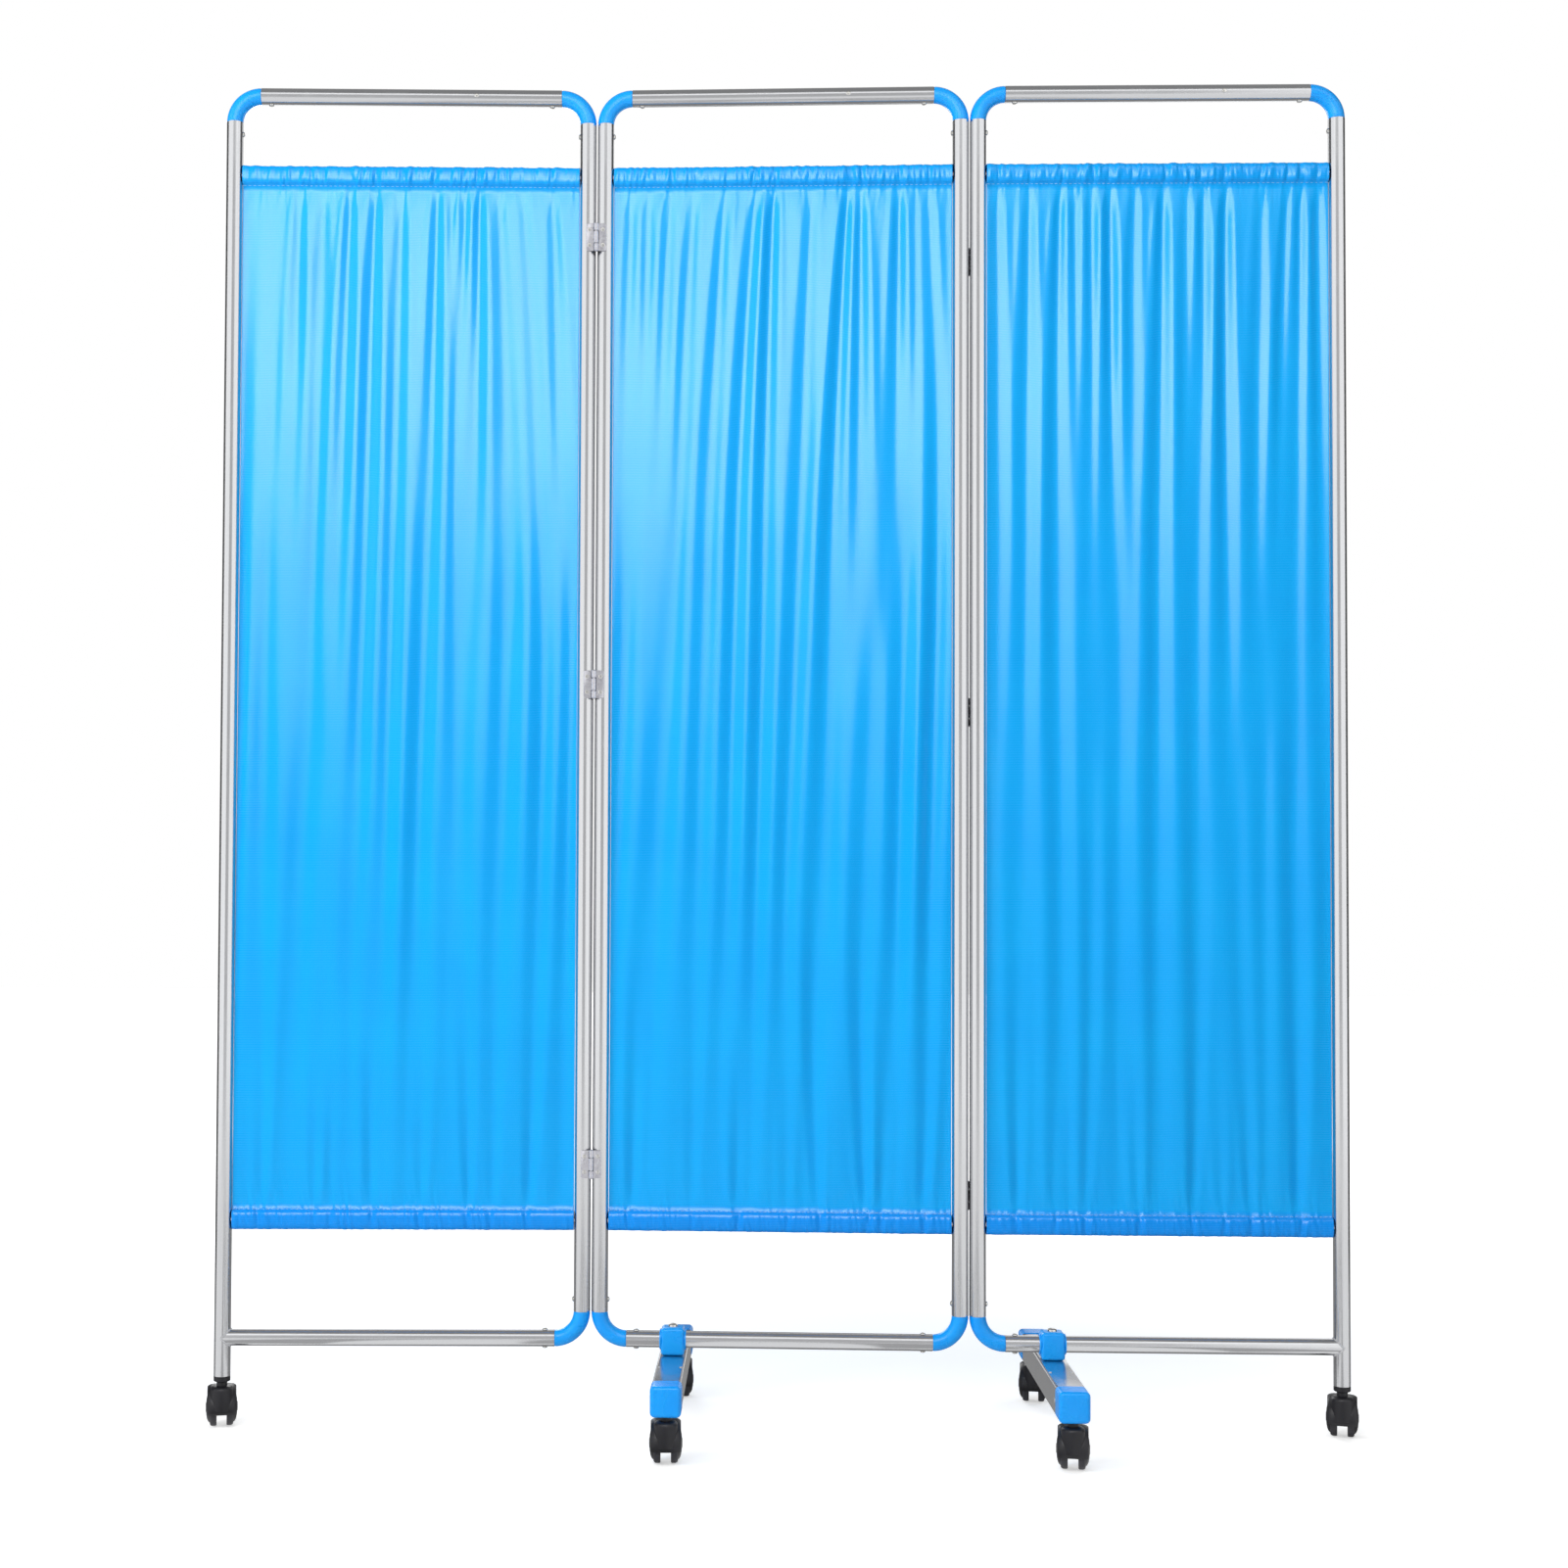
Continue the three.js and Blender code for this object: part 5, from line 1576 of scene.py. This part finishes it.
WORLD_FILL = 0.3
world = bpy.data.worlds.new("Soft studio")
scene.world = world
world.use_nodes = True
tree = world.node_tree
backdrop = tree.nodes["Background"]
backdrop.inputs["Color"].default_value = (1, 1, 1, 1)
level = add(tree, "ShaderNodeMapRange", {"Value": white_to_camera(tree), "To Min": WORLD_FILL, "To Max": 1.0})
tree.links.new(level.outputs[0], backdrop.inputs["Strength"])

# %% [markdown]
# The lamps and the cards are linked by kind: lamps light everything but the bare metals, and cards show in
# the metals and plastics, but not in the satin or on the floor.

# %% Light linking
METALS = (steel, zinc, nickel)
lit = bpy.data.collections.new("Lit by the lamps")
mirrors = bpy.data.collections.new("Shows the cards")
for item in scene.objects:
    finish = item.data.materials[0] if item.type == "MESH" and item.data.materials else None
    if finish and finish not in METALS:
        lit.objects.link(item)
    if finish and finish not in (satin, floor_paint):
        mirrors.objects.link(item)


# %% Lights
def soft_box(name, at, target, size, watts, mirrored=True):
    """An unseen lamp; where mirrored is False, no surface shows its reflection."""
    data = bpy.data.lights.new(name, "AREA")
    data.shape = "RECTANGLE"
    data.size, data.size_y = size
    data.energy = watts
    lamp = bpy.data.objects.new(name, data)
    scene.collection.objects.link(lamp)
    lamp.location = at
    lamp.rotation_euler = (Vector(target) - Vector(at)).to_track_quat("-Z", "Y").to_euler()
    lamp.visible_camera = False
    lamp.visible_glossy = mirrored
    lamp.light_linking.receiver_collection = lit


# Each with its place, what it is aimed at, its size, all in metres, and its watts.
soft_box("Key soft box", (-0.52, -2.6, 2.22), (-0.06, 0, 1.25), (2.0, 0.9), 26)
soft_box("Lower key soft box", (-0.52, -2.62, 1.42), (-0.06, 0, 1.1), (2.0, 0.66), 5)
soft_box("Left soft box", (-3.3, -2.3, 2.2), (0.3, 0, 0.7), (2.0, 1.8), 76, mirrored=False)
soft_box("Overhead soft box", (0.8, -2.2, 3.4), (0.4, 0, 0.3), (3.4, 1.8), 22)
soft_box("Rear soft box", (-1.2, 2.8, 2.0), (0, 0, 1.1), (1.5, 1.3), 34)
soft_box("Rear strip", (2.2, 2.2, 1.4), (0.2, 0, 1.0), (0.5, 2.0), 14)

# %% [markdown]
# Polished tube shows the room and not itself, so it is lit by cards that stand round the screen and are
# seen only in reflections. A grey one behind the camera gives each tube its duller middle, white ones on
# both sides its two bright bands, and dark flags beside it the dark edges. Light linking keeps the lamps
# off the metal, which would show them as hot spots, and the cards' glow off the satin, so that its blue
# stays pure and its sheen is that of the soft boxes.

# %% Reflector cards
def card(name, centre, width, height, level, turn=0.0, lying=False):
    """A card that only mirrors show; it stands facing -Y, turned by degrees about Z, or lies flat."""
    shape = bmesh.new()
    tilt = Matrix.Rotation(math.radians(turn), 4, "Z")
    if not lying:
        tilt = tilt @ Matrix.Rotation(math.pi / 2, 4, "X")
    corners = [[(-width / 2, y, 0), (width / 2, y, 0)] for y in (-height / 2, height / 2)]
    add_rows(shape, corners, Matrix.Translation(centre) @ tilt, ring=False)
    mesh = bpy.data.meshes.new(name)
    shape.to_mesh(mesh)
    shape.free()
    paint, tree, shader = new_material(name, Roughness=1.0, Specular_IOR_Level=0.0, Emission_Strength=level)
    shader.inputs["Base Color"].default_value = linear("#000000")
    shader.inputs["Emission Color"].default_value = linear("#ffffff")
    mesh.materials.append(paint)
    made = linked(name, mesh)
    for ray in ("camera", "diffuse", "transmission", "volume_scatter", "shadow"):
        setattr(made, "visible_" + ray, False)
    made.light_linking.receiver_collection = mirrors


# Each with its middle, its width and height in metres, how brightly it glows, and its turn.
FLOOR_CARD_Z = -FLOOR_DROP / 2
card("Grey_card_behind_the_camera", (0, -4.6, 1.65), 3.4, 3.9, 0.6)
for side, label in ((-1, "left"), (1, "right")):
    card(f"White_card_{label}", (side * 2.55, -2.45, 2.7), 4.62, 6.0, 1.25, side * 68.4)
    card(f"Dark_flag_{label}", (side * 1.9, 1.1, 1.5), 2.4, 3.8, 0.1, side * 90)
card("Grey_card_behind_the_screen", (0, 4.6, 1.5), 1.5, 4.0, 0.2)
card("White_card_overhead", (0, -3.03, 3.4), 6.8, 1.94, 1.4, lying=True)
card("Dark_card_overhead", (0, 0.47, 3.5), 5.2, 5.06, 0.3, lying=True)
card("White_card_on_the_floor", (0, -2.31, FLOOR_CARD_Z), 6.8, 4.58, 1.0, lying=True)
card("Dark_card_on_the_floor", (0, 1.49, FLOOR_CARD_Z), 3.8, 3.02, 0.3, lying=True)
# The feet of the posts mirror the floor close by, so a grey strip runs from each towards the camera.
STRIP_X = (-0.745, -0.25, 0.25, 0.745)
STRIP_MIDDLE, STRIP_WIDTH, STRIP_LENGTH = 0.85, 0.21, 1.6
STRIP_Z = FLOOR_CARD_Z + 0.00005
for i, x in enumerate(STRIP_X):
    towards = x / -CAMERA_PLACE[1]
    middle = (x - STRIP_MIDDLE * towards, -STRIP_MIDDLE, STRIP_Z)
    turn = -math.degrees(math.atan(towards))
    card(f"Grey_strip_{i}", middle, STRIP_WIDTH, STRIP_LENGTH, 0.5, turn, lying=True)
scene.view_settings.view_transform = "Standard"
for helper in (pan_head, lens_head, rivet_head, stud_head, bolt_head):
    bpy.data.objects.remove(helper)

# %% [markdown]
# ## Pieces
# Last, the number of pieces on each body is printed.

# %% Pieces
print("Pieces:", sum(piece_count.values()), piece_count)
